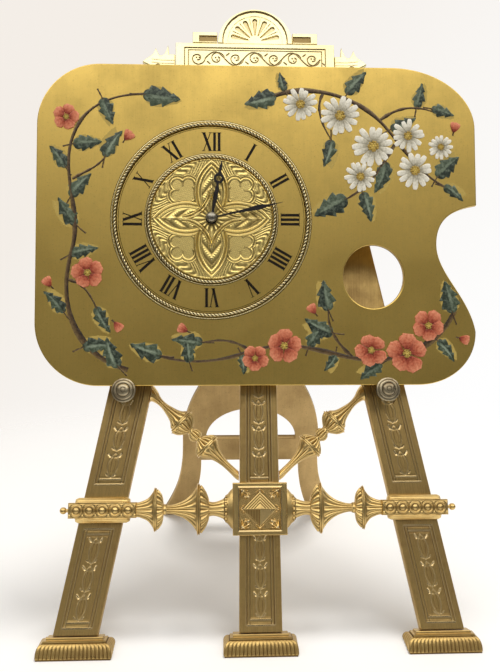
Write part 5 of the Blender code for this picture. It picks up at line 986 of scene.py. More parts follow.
def rope_mesh(radius, beads):
    """A ring of twisted wire: two strands that wind round each other once in each pair of beads."""
    around = beads * 10
    across = 14
    middle = DIAL_FACE - SEAT - WIRE_RADIUS
    sections, grooves = [], []
    for i in range(around):
        turn = 2 * pi * i / around
        twist = beads * turn / 2
        section, row = [], []
        for j in range(across):
            a = 2 * pi * j / across
            strand = abs(cos(a - twist))
            reach = WIRE_RADIUS * (0.50 + 0.50 * strand ** 0.7)
            distance = radius + reach * cos(a)
            section.append((distance * cos(turn), middle + reach * sin(a), distance * sin(turn)))
            row.append(1.3 * (1 - strand) ** 0.9)
        sections.append(section)
        grooves.append(row)
    return loft_mesh("rope", sections, grooves, loop=True)


def ring_mesh(name, profile, steps, dirt=None):
    """A ring about Y whose section is closed through (radius, depth) points."""
    sections = [[(r * cos(a), y, r * sin(a)) for r, y in profile]
                for a in np.arange(steps) * 2 * pi / steps]
    return loft_mesh(name, sections, None if dirt is None else [dirt] * steps, loop=True)


def line_ring(radius, half, high):
    """A fine raised line turned on the palette."""
    profile = ((-half, 0.05 * MM), (-half, -high * 0.3), (0.0, -high), (half, -high * 0.3), (half, 0.05 * MM))
    return ring_mesh("line", [(radius + aside, DIAL_FACE + y) for aside, y in profile], LINE_STEPS)


def polish_line_and_shadow_ring(radius, half):
    """A thin dark band beside a ring: painted shadow where it hugs the rope wire, old polish gathered in a
    line further out.
    """
    profile = ((-half, 0.02 * MM), (-half * 0.6, -0.012 * MM), (half * 0.6, -0.012 * MM), (half, 0.02 * MM))
    return ring_mesh("dirt", [(radius + aside, DIAL_FACE + y) for aside, y in profile], LINE_STEPS, [1.0] * 4)


# Each ring's name, radius and beads, its turned line, then dark bands beside it: painted shadow at 0.78 mm
# against the wire, old polish further out
for name, radius, beads, line, bands in (
        ("outer_rope", OUTER_RING, 168, (1.5, 0.16, 0.07),
         ((-1.6, 0.14), (-0.78, 0.26), (0.78, 0.26), (1.32, 0.13), (1.9, 0.14))),
        ("inner_rope", INNER_RING, 112, (1.35, 0.14, 0.06), ((0.78, 0.26), (1.2, 0.12), (1.7, 0.13)))):
    parts = [rope_mesh(radius, beads), line_ring(radius + line[0] * MM, line[1] * MM, line[2] * MM)]
    parts += [polish_line_and_shadow_ring(radius + off * MM, half * MM) for off, half in bands]
    set_piece(name, parts, DIAL, ring_finish, "easel", f"{name}_ring", sharp=60.0)


# Rosette: pressed from thin gilt sheet, with a four-petal star round the middle, milled bands beside it
# and trefoils in its corners. Dirt is left beside each raised band.
ROSETTE_RADIUS = 27.2 * MM
ROSETTE_BACK = DIAL_FACE - SEAT
ROSETTE_FACE = ROSETTE_BACK - 0.8 * MM
gilt_finish = metal("pressed gilt", GILT, 800.0, stain=0.45, stain_size=80.0, rough=0.30, streak=0.25,
                    bump=0.05)

distances = np.concatenate((np.linspace(PIPE_HOLE, 26.85 * MM, 118), [27.0 * MM, 27.12 * MM, ROSETTE_RADIUS]))
turns, reaches = np.meshgrid(np.arange(0, 560) * 2 * pi / 560, distances)
x, z = reaches * np.cos(turns), reaches * np.sin(turns)
small, large = np.minimum(np.abs(x), np.abs(z)) / MM, np.maximum(np.abs(x), np.abs(z)) / MM
petal = np.hypot(small + 10.7, large - 11.5) - 18.5
star = np.where(large < 13.2, 13.3 - np.hypot(small - 13.2, large - 13.2), 5.0)
in_petal = np.clip(-petal / 0.3, 0, 1)
high, soil = np.zeros_like(x), np.zeros_like(x)


def press(distance, half, tall, mask):
    """Raises a rounded band of the rosette, and leaves dirt along both its sides."""
    global high, soil
    band = ridge(distance, half) * mask
    beside = np.maximum(ridge(distance - half, 0.35), ridge(distance + half, 0.35)) * mask
    high = np.maximum(high * (1 - band), band * tall)
    soil = np.maximum(soil * (1 - band), beside * 0.85 * (1 - band))


leafage = np.abs(np.sin(0.62 * (large + 1.25 * small) - 0.4)) * np.clip(-(petal + 3.2) / 0.8, 0, 1)
veins = np.abs(np.sin(2.6 * (large - 0.5 * small)))
high += leafage * (0.34 + 0.12 * veins) + 0.30 * ridge(small, 0.9) * (petal < -3.4)
soil = np.maximum(soil, (1 - leafage) * 0.8 * (petal < -3.4) * (star > 0.2))
lobes = ((15.3, 15.3, 2.7), (10.3, 15.6, 2.7), (11.2, 11.2, 4.2))
trefoil = np.minimum.reduce([np.hypot(small - a, large - b) - r for a, b, r in lobes])
outside = np.clip(petal / 0.25, 0, 1)
ground = np.sin(x / MM * 5.9 + np.sin(z / MM * 3.7)) * np.sin(z / MM * 6.3 + np.sin(x / MM * 4.1))
high += np.where(trefoil < 0, 0.07 * ground, 0.0) * outside
soil = np.maximum(soil, np.where(trefoil < 0, 0.22 + 0.2 * ground, 0.0) * outside)
curls = np.abs(np.sin(1.5 * np.hypot(small - 21.5, large - 21.5) + 3.0 * np.sin(0.55 * (small + large))))
high += np.where(trefoil > 1.3, 0.30 * curls, 0.0) * outside
soil = np.maximum(soil, np.where(trefoil > 1.3, 0.75 * (1 - curls), 0.0) * outside)
press(trefoil - 0.15, 0.55, 0.42, outside)
press(trefoil - 1.35, 0.40, 0.34, outside)
milled = 0.85 + 0.15 * np.sin(turns * 170)
press(petal + 0.55, 0.72, 0.66, (star > -0.2) * 1.0)
press(petal + 2.15, 0.75, 0.55 * milled, (star > -0.2) * in_petal)
rays = np.abs(np.cos(8 * turns)) ** 2
high = np.where(star < -0.5, 0.16 + 0.34 * rays * np.clip((reaches / MM - 2.6) / 3.0, 0, 1), high)
soil = np.where(star < -0.5, 0.75 * (1 - rays), soil)
press(star - 0.15, 0.62, 0.70, (petal < 0.2) * 1.0)
press(star - 1.45, 0.42, 0.55, (petal < -0.4) * 1.0)
rim = reaches / MM
high = np.maximum(high, 0.35 * ridge(rim - 26.7, 0.45))
edge_fall = np.clip((rim - 26.9) / 0.3, 0, 1) * 0.5 * MM
front = ROSETTE_FACE - np.minimum(high, 0.7) * MM + edge_fall
shine = np.clip((high - 0.5) / 0.2, 0, 1) * 0.45
rosette = plate_mesh("rosette", x, z, front, ROSETTE_BACK, soil, shine, wrap=True)
set_piece("gilt_rosette", rosette, DIAL, gilt_finish, "easel", "dial_rosette", sharp=60.0)


# Numerals: roman hours of black wax, laid thinly on the lacquered brass through a stencil. Their feet
# point to the middle of the dial, and the wax has worn thin in places.
NUMERAL_NEAR = 31.1 * MM
NUMERAL_FAR = 39.35 * MM
THICK_STROKE = 0.60 * MM
THIN_STROKE = 0.19 * MM
HOURS = ("XII", "I", "II", "III", "IIII", "V", "VI", "VII", "VIII", "IX", "X", "XI")
# Room a letter takes, then its strokes: across at the foot and at the top, and whether thick
LETTERS = {"I": (2.05, ((0.0, 0.0, True),)), "V": (4.5, ((0.35, -1.45, True), (0.15, 1.55, False))),
           "X": (4.7, ((1.5, -1.5, True), (-1.5, 1.5, False)))}

wax, tree, surface = new_finish("black wax", {"Roughness": 0.5, "Specular IOR Level": 0.2})
crackle = node(tree, "TexNoise", {"Vector": node(tree, "TexCoord").outputs["Object"],
                                  "Scale": 900.0, "Detail": 4.0})
worn = node(tree, "MapRange", {"Value": crackle.outputs[0], "From Min": 0.58, "From Max": 0.75,
                               "To Max": 0.35})
waxed = blend_colours(tree, worn.outputs[0], (*BLACK_WAX, 1.0), (*WORN_WAX, 1.0))
tree.links.new(waxed, surface.inputs["Base Color"])


def bar_mesh(line, half, front, back):
    """A thin raised bar between two points, as wide as asked."""
    start, end = Vector(line[0]), Vector(line[1])
    aside = Vector((-(end - start).y, (end - start).x)).normalized() * half
    ring = [start - aside, end - aside, end + aside, start + aside]
    return loft_mesh("bar", [[(p.x, depth, p.y) for p in ring] for depth in (back, front)])


numerals = []
for hour, word in enumerate(HOURS):
    turn = radians(90.0 - 30.0 * hour)
    out, aside = Vector((cos(turn), sin(turn))), Vector((sin(turn), -cos(turn)))
    across = -sum(LETTERS[letter][0] for letter in word) / 2
    for letter in word:
        room, strokes = LETTERS[letter]
        across += room / 2
        for foot_x, top_x, thick in strokes:
            foot_point = out * NUMERAL_NEAR + aside * (across + foot_x) * MM
            top_point = out * NUMERAL_FAR + aside * (across + top_x) * MM
            numerals.append(bar_mesh((foot_point, top_point), THICK_STROKE if thick else THIN_STROKE,
                                     DIAL_FACE - 0.07 * MM, DIAL_FACE + 0.05 * MM))
            serif = aside * (0.95 if thick else 0.7) * MM
            for point in (foot_point, top_point):
                numerals.append(bar_mesh((point - serif, point + serif), 0.13 * MM, DIAL_FACE - 0.05 * MM,
                                         DIAL_FACE + 0.05 * MM))
        across += room / 2
set_piece("wax_numerals", numerals, DIAL, wax, "easel")

# Painted sprays: oil paint laid on the lacquered brass with a small brush, thick enough to stand proud.
# Daisies hang in a garland at the upper right, wild roses run along the foot, and a vine climbs the left.
PAINT_FOOT = DIAL_FACE + 0.05 * MM
PETAL_LIFT = 0.22 * MM
LEAF_PAINT = ((0.060, 0.085, 0.048), (0.012, 0.020, 0.015), (0.34, 0.41, 0.30))
TWIG_PAINT = ((0.085, 0.048, 0.020), (0.018, 0.010, 0.006), (0.32, 0.22, 0.085))
WHITE_PAINT = ((0.74, 0.70, 0.56), (0.26, 0.23, 0.15), (0.98, 0.95, 0.84))
CORAL_PAINT = ((0.50, 0.085, 0.030), (0.15, 0.018, 0.012), (0.86, 0.36, 0.20))
HALO_PAINT = ((0.50, 0.36, 0.085), (0.38, 0.27, 0.065), (0.62, 0.46, 0.13))
HEART_PAINT = ((0.42, 0.26, 0.035), (0.14, 0.075, 0.015), (0.70, 0.52, 0.12))


def paint(name, body, shade, light):
    """Oil paint with a body colour, darker in its hollows, lighter on its strokes, and brushed."""
    finish, tree, surface = new_finish(name, {"Roughness": 0.38, "Specular IOR Level": 0.4})
    place = node(tree, "TexCoord").outputs["Object"]
    bristle = node(tree, "TexNoise", {"Vector": place, "Scale": 1100.0, "Detail": 3.0})
    mottle = node(tree, "MapRange", {"Value": bristle.outputs[0], "From Min": 0.35, "From Max": 0.70,
                                     "To Min": -0.14, "To Max": 0.18})
    hollow = node(tree, "Attribute", attribute_name="groove")
    raised = node(tree, "Attribute", attribute_name="shine")
    darker = maths(tree, "ADD", hollow.outputs["Fac"], mottle.outputs[0], clamp=True)
    lighter = maths(tree, "SUBTRACT", raised.outputs["Fac"], mottle.outputs[0], clamp=True)
    shaded = blend_colours(tree, darker, (*body, 1.0), (*shade, 1.0))
    tree.links.new(blend_colours(tree, lighter, shaded, (*light, 1.0)), surface.inputs["Base Color"])
    relief = node(tree, "Bump", {"Height": bristle.outputs[0], "Distance": 0.12 * MM})
    tree.links.new(relief.outputs["Normal"], surface.inputs["Normal"])
    return finish


def dab_mesh(course, half, high, dark=None, light=None, columns=7, lift=0.0):
    """A raised dab of paint along a course, as wide as asked at each point, over what lies below."""
    course = np.asarray(course, dtype=float)
    t, s = np.linspace(0, 1, len(course))[:, None], np.linspace(-1, 1, columns)[None, :]
    ahead = np.gradient(course, axis=0)
    ahead /= np.linalg.norm(ahead, axis=1, keepdims=True)
    reach = s * np.maximum(half, 0.06 * MM).reshape(len(course), -1)
    x, z = course[:, :1] - ahead[:, 1:] * reach, course[:, 1:] + ahead[:, :1] * reach
    rise = high * (1 - np.abs(s) ** 3) ** 0.6 * np.sin(np.pi * (0.03 + 0.94 * t)) ** 0.4
    blank = np.zeros_like(x)
    return plate_mesh("dab", x, z, DIAL_FACE - 0.02 * MM - lift - rise, PAINT_FOOT,
                      blank if dark is None else blank + dark, blank if light is None else blank + light)


def ray_line(spot, turn, near, far, bend, steps):
    """A course that leaves a spot at an angle and bends aside a little."""
    out, aside = Vector((cos(turn), sin(turn))), Vector((-sin(turn), cos(turn)))
    return [tuple(Vector(spot) + out * (near + (far - near) * t) + aside * bend * (far - near) * t * t)
            for t in np.linspace(0, 1, steps)]


def leaf_mesh(spot, turn, size, hand):
    """A toothed leaf, darker on one side, with a pale stroke by its midrib and faint veins."""
    t, s = np.linspace(0, 1, 30)[:, None], np.linspace(-1, 1, 13)[None, :]
    lobes = hand.uniform(2.6, 3.8)
    start = hand.uniform(0.0, 0.5)
    profile = np.sin(pi * t ** 0.70) ** 0.8 * (1 - 0.2 * t)
    teeth = 1 - hand.uniform(0.34, 0.5) * ((t * lobes + start + 0.12 * s) % 1.0) * (t < 0.9)
    veins = ridge(((t * lobes + start - 0.55 * np.abs(s)) % 1.0) - 0.5, 0.3)
    side = hand.choice((-1, 1))
    dark = np.where(s * side > 0, 0.85, 0.12) * (1 - ridge(s, 0.18)) * hand.uniform(0.7, 1.0)
    stroke = ridge(s + side * 0.20 * (1 - t), 0.30) * np.clip(np.sin(pi * t) * 1.6 - 0.35, 0, 1)
    light = np.maximum(stroke * hand.uniform(0.35, 0.9), veins * 0.22 * (np.abs(s) > 0.2))
    course = ray_line(spot, turn, 0.0, size, hand.uniform(-0.26, 0.26), 30)
    half = size * hand.uniform(0.28, 0.36) * profile * teeth
    return dab_mesh(course, half, 0.24 * MM, dark, light, 13, 0.04 * MM)


def halo_mesh(spot, turn, size, hand):
    """The bright edge round a leaf, where the lacquer was scraped before it was painted."""
    t = np.linspace(0, 1, 22)[:, None]
    profile = np.sin(pi * (0.02 + 0.96 * t) ** 0.70) ** 0.9 * (1 - 0.2 * t)
    half = size * 0.27 * profile + hand.uniform(0.15, 0.75, (22, 1)) * MM * (t > 0.1) * (t < 0.93)
    return dab_mesh(ray_line(spot, turn, 0.0, size * 1.03, hand.uniform(-0.15, 0.15), 22), half, 0.012 * MM)


def petal_mesh(spot, turn, near, far, half, hand, heart=False):
    """A petal: narrow with a round end, or broad with a dip in its end."""
    t, s = np.linspace(0, 1, 12)[:, None], np.linspace(-1, 1, 9)[None, :]
    profile = np.sin(pi * (0.10 + 0.84 * t)) ** 0.5 * (0.45 + 0.55 * t) if not heart else (
        np.sin(pi * np.minimum(t, 0.93) ** 1.25) ** 0.6 * (0.5 + 0.7 * t))
    strokes = 0.5 + 0.5 * np.sin(9 * s + hand.uniform(0, 6) + 2 * t)
    dark = (1 - t) ** 2 * 0.9 + 0.25 * strokes * (1 - t)
    light = np.clip(t * 1.25 - 0.35, 0, 1) * (0.55 + 0.45 * strokes)
    course = ray_line(spot, turn, near, far, hand.uniform(-0.12, 0.12), 12)
    return dab_mesh(course, half * profile, hand.uniform(0.18, 0.30) * MM, dark, light, 9,
                    PETAL_LIFT + hand.uniform(0.0, 0.12) * MM)


def heart_meshes(spot, radius, hand):
    """The middle of a flower: a low dome of dots."""
    dots = []
    for ring, count in ((0.0, 1), (0.42, 6), (0.80, 11)):
        for i in range(count):
            a = 2 * pi * i / count + hand.uniform(-0.2, 0.2)
            x, z = spot[0] + radius * ring * cos(a), spot[1] + radius * ring * sin(a)
            size = radius * 0.24
            dots.append(dab_mesh([(x - size, z), (x - size * 0.4, z), (x + size * 0.4, z), (x + size, z)],
                                 size * np.array([0.3, 0.95, 0.95, 0.3]), (0.30 - 0.1 * ring) * MM,
                                 0.6 * ring, 0.9 - 0.8 * ring, 5, PETAL_LIFT + 0.26 * MM))
    return dots


def stem_mesh(points, thick, thin):
    """A twig that tapers and swells at its knots, light on its upper side."""
    t, s = np.linspace(0, 1, len(points))[:, None], np.linspace(-1, 1, 7)[None, :]
    half = (thick + (thin - thick) * t) * (1 + 0.5 * np.abs(np.sin(11 * t)) ** 6) * MM
    return dab_mesh(points, half, 0.22 * MM, np.clip(-s, 0, 1) * 0.9 + 0.3 * np.sin(31 * t) ** 2,
                    np.clip(s, 0, 1) * 0.55)


# Stems, each as a start and the curves that follow from it, with its half widths, in millimetres
STEMS = (
    ((5.0, 130.0), (((20.0, 137.0), (42.0, 133.0), (55.0, 120.0)),
                    ((64.0, 111.0), (70.0, 98.0), (84.0, 90.0))), 1.05, 0.4),
    ((55.0, 120.0), (((63.0, 126.0), (70.0, 128.0), (81.0, 124.0)),), 0.7, 0.3),
    ((62.0, 109.0), (((56.0, 100.0), (52.0, 90.0), (40.0, 84.0)),), 0.8, 0.3),
    ((30.0, 133.0), (((26.0, 128.0), (27.0, 120.0), (33.0, 111.0)),), 0.6, 0.3),
    ((88.0, 33.0), (((82.0, 20.0), (66.0, 8.0), (42.0, 12.0)), ((26.0, 15.0), (14.0, 21.0), (-4.0, 15.0)),
                    ((-18.0, 10.5), (-30.0, 9.0), (-44.0, 13.0))), 1.1, 0.4),
    ((42.0, 12.0), (((34.0, 19.0), (30.0, 26.0), (31.0, 34.0)),), 0.7, 0.3),
    ((-4.0, 15.0), (((-10.0, 20.0), (-17.0, 21.0), (-25.0, 19.0)),), 0.6, 0.3),
    ((-58.0, 7.0), (((-80.0, 13.0), (-90.0, 34.0), (-83.0, 60.0)),
                    ((-78.0, 78.0), (-90.0, 96.0), (-82.0, 114.0)),
                    ((-78.0, 124.0), (-68.0, 131.0), (-50.0, 131.0))), 1.1, 0.4),
    ((-85.0, 47.0), (((-79.0, 46.0), (-75.0, 42.0), (-72.0, 34.0)),), 0.6, 0.3),
    ((-83.0, 92.0), (((-77.0, 96.0), (-72.0, 97.0), (-68.0, 103.0)),), 0.6, 0.3),
)
# Leaves: where each grows, which way it points in degrees, and its length
LEAVES = (
    (8, 131, 200, 15), (40, 132, 52, 14), (33, 111, 262, 13), (60, 116, 20, 13), (79, 126, 345, 11),
    (72, 126, 70, 12), (40, 84, 205, 17), (47, 87, 290, 14), (84, 90, 335, 11), (81, 94, 50, 14),
    (58, 101, 262, 15), (12, 133, 110, 9), (87, 32, 100, 15), (80, 20, 320, 12), (55, 9.5, 205, 12),
    (34, 14, 250, 9), (31, 33, 105, 14), (33, 23, 165, 14), (22, 17, 60, 12), (-8, 14, 290, 9),
    (-25, 19, 170, 14), (-31, 10, 100, 11), (-43, 13, 165, 15), (-62, 8, 125, 14), (-78, 17, 15, 13),
    (-86, 32, 120, 13), (-84, 58, 20, 13), (-81, 71, 130, 15), (-84, 84, 55, 14), (-86, 97, 115, 12),
    (-69, 102, 70, 14), (-83, 108, 5, 13), (-70, 129, 290, 13), (-52, 131, 350, 17), (-72, 35, 290, 13),
)
# Daisies and roses: where the middle is, how far the petals reach, and how the flower is turned
DAISIES = ((19, 127, 7.6, 0.1), (37, 122, 8.8, 0.5), (52, 108, 9.4, 0.2), (68, 113, 7.4, 0.9),
           (71, 97, 8.2, 0.4), (46, 94, 7.0, 0.7), (83, 108, 5.6, 0.0))
ROSES = ((66, 14, 8.6, 0.3), (76, 26.5, 7.0, 1.0), (50, 15.5, 7.0, 0.7), (11, 17.5, 7.6, 0.2),
         (-2, 12, 5.8, 0.9), (-76, 50, 7.0, 0.5), (-86, 120, 5.8, 0.1))
BUDS = ((89, 115, 70, 4.6), (25, 32, 120, 4.6), (-32, 24, 150, 4.6), (-64, 28, 310, 4.6), (-60, 110, 50, 4.8),
        (-92, 44, 130, 4.6), (90, 21, 340, 4.6))

# Flowers of a kind, their petals: how many, where they start and how far they reach, then how wide, whether
# their ends dip, and the size of the heart
BLOOMS = ((DAISIES, 13, 0.22, (0.90, 1.06), 0.205, False, 0.27),
          (ROSES, 5, 0.10, (0.93, 1.05), 0.50, True, 0.22))

hand = np.random.default_rng(7)
grown, budding = ([((px * MM, pz * MM), radians(turn), size * MM) for px, pz, turn, size in rows]
                  for rows in (LEAVES, BUDS))
stems = [stem_mesh(mm_line(bent_line(start, course, 22)), thick, thin)
         for start, course, thick, thin in STEMS]
stems += [stem_mesh(ray_line(spot, turn + pi, -0.3 * size, 0.35 * size, 0.1, 8), 0.22, 0.3)
          for spot, turn, size in grown + budding]
halos = [halo_mesh(*leaf, hand) for leaf in grown]
leaves = [leaf_mesh(*leaf, hand) for leaf in grown]
whites, corals, hearts = [], [], []
for (flowers, count, near, far, half, dip, heart), petals in zip(BLOOMS, (whites, corals)):
    for px, pz, length, turn in flowers:
        spot, size = (px * MM, pz * MM), length * MM
        for i in range(count):
            way = turn + 2 * pi * i / count + hand.uniform(-0.06, 0.06)
            reach = size * hand.uniform(*far)
            petals.append(petal_mesh(spot, way, near * size, reach, half * size, hand, dip))
        hearts += heart_meshes(spot, heart * size, hand)
for spot, turn, size in budding:
    for lean in (-0.35, 0.0, 0.35):
        corals.append(petal_mesh(spot, turn + lean, 0.0, size, 0.30 * size, hand))
for name, meshes, finish in (("scraped_edges", halos, paint("scraped lacquer", *HALO_PAINT)),
                             ("painted_stems", stems, paint("twig brown", *TWIG_PAINT)),
                             ("painted_leaves", leaves, paint("leaf green", *LEAF_PAINT)),
                             ("painted_daisies", whites, paint("daisy white", *WHITE_PAINT)),
                             ("painted_roses", corals, paint("rose coral", *CORAL_PAINT)),
                             ("painted_hearts", hearts, paint("flower heart", *HEART_PAINT))):
    set_piece(name, meshes, BOARD, finish, "easel", sharp=50.0)


# Hands: pierced from thin steel and blued until nearly black, the hour hand with a ring and a spear, the
# minute hand a long swelling needle. A grey steel collet is pressed over them on the centre arbor.
HAND_THICK = 0.5 * MM
HAND_BORE = 1.2 * MM
EYE_HEIGHT = 18.1 * MM
HOUR_FLOOR = -5.7 * MM
MINUTE_FLOOR = HOUR_FLOOR - 0.9 * MM
HOUR_TURN = radians(10.2)
MINUTE_TURN = radians(6.0 * 12.9)
BLUED = ((0.060, 0.056, 0.056), (0.016, 0.014, 0.013), (0.01, 0.008, 0.006))
STEEL = ((0.40, 0.375, 0.31), (0.20, 0.18, 0.14), (0.06, 0.05, 0.03))

blued_finish = metal("blued steel", BLUED, 900.0, stain=0.6, stain_size=200.0, rough=0.26, streak=0.3,
                     bump=0.01)
steel_finish = metal("ground steel", STEEL, 1100.0, stain=0.5, stain_size=140.0, rough=0.28,
                     streak=0.4, bump=0.02)


def mirrored(side):
    """A closed outline from the points of its right side, from foot to tip."""
    return side + [(-px, pz) for px, pz in reversed(side) if px > 0]


hub = arc_line(0.0, 0.0, 2.7 * MM, 2.7 * MM, -88.0, 72.0, 24)
stem = mm_line(((0.52, 3.4), (0.62, 5.5), (0.95, 9.0), (0.98, 11.0), (0.78, 13.6), (0.55, 15.2),
                (0.60, 15.9)))
eye_side = arc_line(0.0, EYE_HEIGHT, 2.3 * MM, 2.3 * MM, -72.0, 68.0, 24)
spear = mm_line(((0.70, 20.6), (0.45, 21.6), (0.72, 22.8), (0.34, 25.0), (0.08, 26.9)))
hour_outline = mirrored(hub + stem + eye_side + spear)
bores = [circle_line(HAND_BORE, 0.0, 0.0, 24), circle_line(HAND_BORE, 0.0, EYE_HEIGHT, 24)]
blade = sheet_mesh("hour", hour_outline, HOUR_FLOOR, HOUR_FLOOR - HAND_THICK, 0.1 * MM, bores)
set_piece("hour_hand_blade", blade, DIAL @ Matrix.Rotation(HOUR_TURN, 4, "Y"), blued_finish, "hour",
          "hour_hand")

hub = arc_line(0.0, 0.0, 2.3 * MM, 2.3 * MM, -88.0, 76.0, 24)
needle = mm_line(((0.34, 3.0), (0.40, 9.0), (0.62, 14.5), (1.08, 20.5), (1.12, 21.8), (0.85, 23.6),
                  (0.34, 26.8), (0.20, 29.5), (0.07, 32.5)))
blade = sheet_mesh("minute", mirrored(hub + needle), MINUTE_FLOOR, MINUTE_FLOOR - HAND_THICK, 0.1 * MM,
                   bores[:1])
set_piece("minute_hand_blade", blade, DIAL @ Matrix.Rotation(MINUTE_TURN, 4, "Y"), blued_finish, "minute",
          "minute_hand")

COLLET_BACK = MINUTE_FLOOR - HAND_THICK - SEAT
dome = [(2.3, 0.0), (2.3, -0.35), (2.2, -0.5), (2.0, -0.52)]
dome += [(2.0 * cos(t), -0.52 - 1.05 * sin(t)) for t in np.linspace(0.15, 1.2, 8)]
dome += [(0.6, -1.5), (0.45, -1.59), (0.1, -1.6)]
dirt = [0.6, 0.3, 0.1, 0.9] + [0.1] * 8 + [0.8, 0.2, 0.1]
collet = turned_mesh("collet", mm_line(dome, COLLET_BACK), 40, groove=dirt)
set_piece("hand_collet_cap", collet, DIAL, steel_finish, "minute", "hand_collet")

# Studs: two turned and nickelled studs that carry the palette. Each head is a low dome inside stepped
# rings, and its shank passes through the leg to a plain hexagon nut behind.
NICKEL = ((0.56, 0.48, 0.32), (0.22, 0.17, 0.10), (0.045, 0.032, 0.016))
STUD_HEIGHT = BOARD_FOOT[1] - PALETTE_THICK * sin(EASEL_LEAN - PALETTE_LEAN) - SEAT - 1.7 * MM
STUD_SHANK = 1.7 * MM
STUD_HEAD_RADIUS = 5.3 * MM
STUD_LEFT = 1.3 * MM
NUT_RADIUS = 3.55 * MM
NUT_TALL = 2.0 * MM
STUD_HEAD_TALL = 2.6 * MM
STUD_HEAD_AT = (BOARD_FOOT[0] - PALETTE_THICK * cos(EASEL_LEAN - PALETTE_LEAN)
                - STUD_HEAD_RADIUS * sin(EASEL_LEAN - PALETTE_LEAN) - SEAT)
# Share of the radius, share of the height, and the dirt left there
STUD_PROFILE = ((1.0, 0.0, 0.6), (1.0, 0.10, 0.3), (0.97, 0.17, 0.1), (0.90, 0.22, 0.2), (0.84, 0.24, 0.9),
                (0.80, 0.32, 0.5), (0.76, 0.44, 0.1), (0.70, 0.50, 0.1), (0.62, 0.52, 0.3), (0.56, 0.50, 0.9),
                (0.52, 0.58, 0.6), (0.49, 0.72, 0.1), (0.42, 0.84, 0.1), (0.32, 0.93, 0.1), (0.24, 0.96, 0.3),
                (0.20, 0.94, 0.9), (0.16, 0.97, 0.3), (0.08, 1.0, 0.1), (0.01, 1.0, 0.1))

nickel_finish = metal("worn nickel", NICKEL, 900.0, stain=0.8, stain_size=150.0, rough=0.30, streak=0.4,
                      bump=0.03)
for name, side in (("left", -1), ("right", 1)):
    spot = (side * leg_centre(STUD_HEIGHT) - STUD_LEFT, STUD_HEIGHT)
    profile = [(STUD_SHANK, LEG_THICK + 2.6 * MM), (STUD_SHANK, -SEAT), (3.2 * MM, -SEAT)]
    profile += mm_line(((3.3, -0.6), (3.3, -6.9), (3.2, -7.2)))
    profile += [(STUD_SHANK, -7.2 * MM), (STUD_SHANK, STUD_HEAD_AT)]
    dirt = [0.3] * len(profile) + [row[2] for row in STUD_PROFILE]
    profile += [(STUD_HEAD_RADIUS * wide, STUD_HEAD_AT - STUD_HEAD_TALL * tall)
                for wide, tall, _ in STUD_PROFILE]
    stud = turned_mesh("stud", profile, 56, spot, dirt)
    set_piece(f"{name}_stud_turning", stud, EASEL, nickel_finish, "easel", f"{name}_stud")
    nut = sheet_mesh("nut", circle_line(NUT_RADIUS, *spot, 6), LEG_THICK + SEAT, LEG_THICK + SEAT + NUT_TALL,
                     0.25 * MM, [circle_line(2.0 * MM, *spot, 24)])
    set_piece(f"{name}_hexagon_nut", nut, EASEL, nickel_finish, "easel", f"{name}_stud_nut")


# Strut: the back leg, sawn from sheet brass as an arch with a cross bar and left plain. Its knuckle turns
# on a steel pin between the lugs of a small bracket, which two screws hold to the post.
HINGE_HEIGHT = 180.0 * MM
HINGE_Y = LEG_THICK + 3.2 * MM
STRUT_SPREAD = radians(21.0)
STRUT_LENGTH = (HINGE_HEIGHT * cos(EASEL_LEAN) - HINGE_Y * sin(EASEL_LEAN)) / cos(STRUT_SPREAD)
HINGE = EASEL @ Matrix.Translation((0.0, HINGE_Y, HINGE_HEIGHT))
SWING = HINGE @ Matrix.Rotation(EASEL_LEAN + STRUT_SPREAD, 4, "X")
STRUT_HALF = 53.0 * MM
STRUT_THICK = 3.5 * MM
KNUCKLE_HALF = 4.9 * MM
BAR_LOW = 44.5 * MM
BAR_TOP = 60.5 * MM
ARCH_HALF = (25.2 * MM, 21.5 * MM)
STRUT_BRASS = ((0.63, 0.448, 0.205), (0.39, 0.265, 0.11), (0.13, 0.08, 0.03))

strut_finish = metal("plain strut brass", STRUT_BRASS, (900.0, 900.0, 60.0), stain=0.7, stain_size=34.0,
                     rough=0.42, streak=0.5, bump=0.03)


def strut_line(start, *curves):
    """A bent line of the strut, from shares of its half width and of its length."""
    scaled = [[(STRUT_HALF * across, -STRUT_LENGTH * down) for across, down in part]
              for part in ((start,), *curves)]
    return bent_line(scaled[0][0], scaled[1:])


outer = [(KNUCKLE_HALF, 0.0), (KNUCKLE_HALF, -3.6 * MM), (STRUT_HALF * 0.17, -STRUT_LENGTH * 0.045)]
outer += strut_line((0.17, 0.32), ((0.46, 0.38), (0.722, 0.52), (0.722, 0.66)),
                    ((0.732, 0.83), (0.81, 0.886), (1.0, 1.0)))
inner_edge = strut_line((0.53, 0.747), ((0.53, 0.83), (0.585, 0.91), (0.71, 1.0)))
inner_edge[0] = (inner_edge[0][0], -STRUT_LENGTH + BAR_LOW)
half_line = outer + inner_edge[::-1]
outline = half_line + [(-px, pz) for px, pz in reversed(half_line)]
arch = arc_line(0.0, BAR_TOP - STRUT_LENGTH, *ARCH_HALF, 0.0, 180.0, 40)
strut_sheet = sheet_mesh("strut", outline, STRUT_THICK / 2, -STRUT_THICK / 2, 0.35 * MM, [arch])
for vert in strut_sheet.vertices:
    if vert.co.z < -STRUT_LENGTH + 0.6 * MM:
        vert.co.z -= vert.co.y * tan(STRUT_SPREAD)
knuckle_profile = mm_line(((1.3, 0.0), (2.15, 0.0), (2.3, 0.15)), -KNUCKLE_HALF)
knuckle_profile += mm_line(((2.3, -0.15), (2.15, 0.0), (1.3, 0.0)), KNUCKLE_HALF)
knuckle = turned_mesh("knuckle", knuckle_profile, 40)
knuckle.transform(Matrix(((0, 1, 0, 0), (1, 0, 0, 0), (0, 0, 1, 0), (0, 0, 0, 1))))
set_piece("strut_sheet", [strut_sheet, knuckle], SWING, strut_finish, "strut", "strut")

SLOT_TURN = 0.6
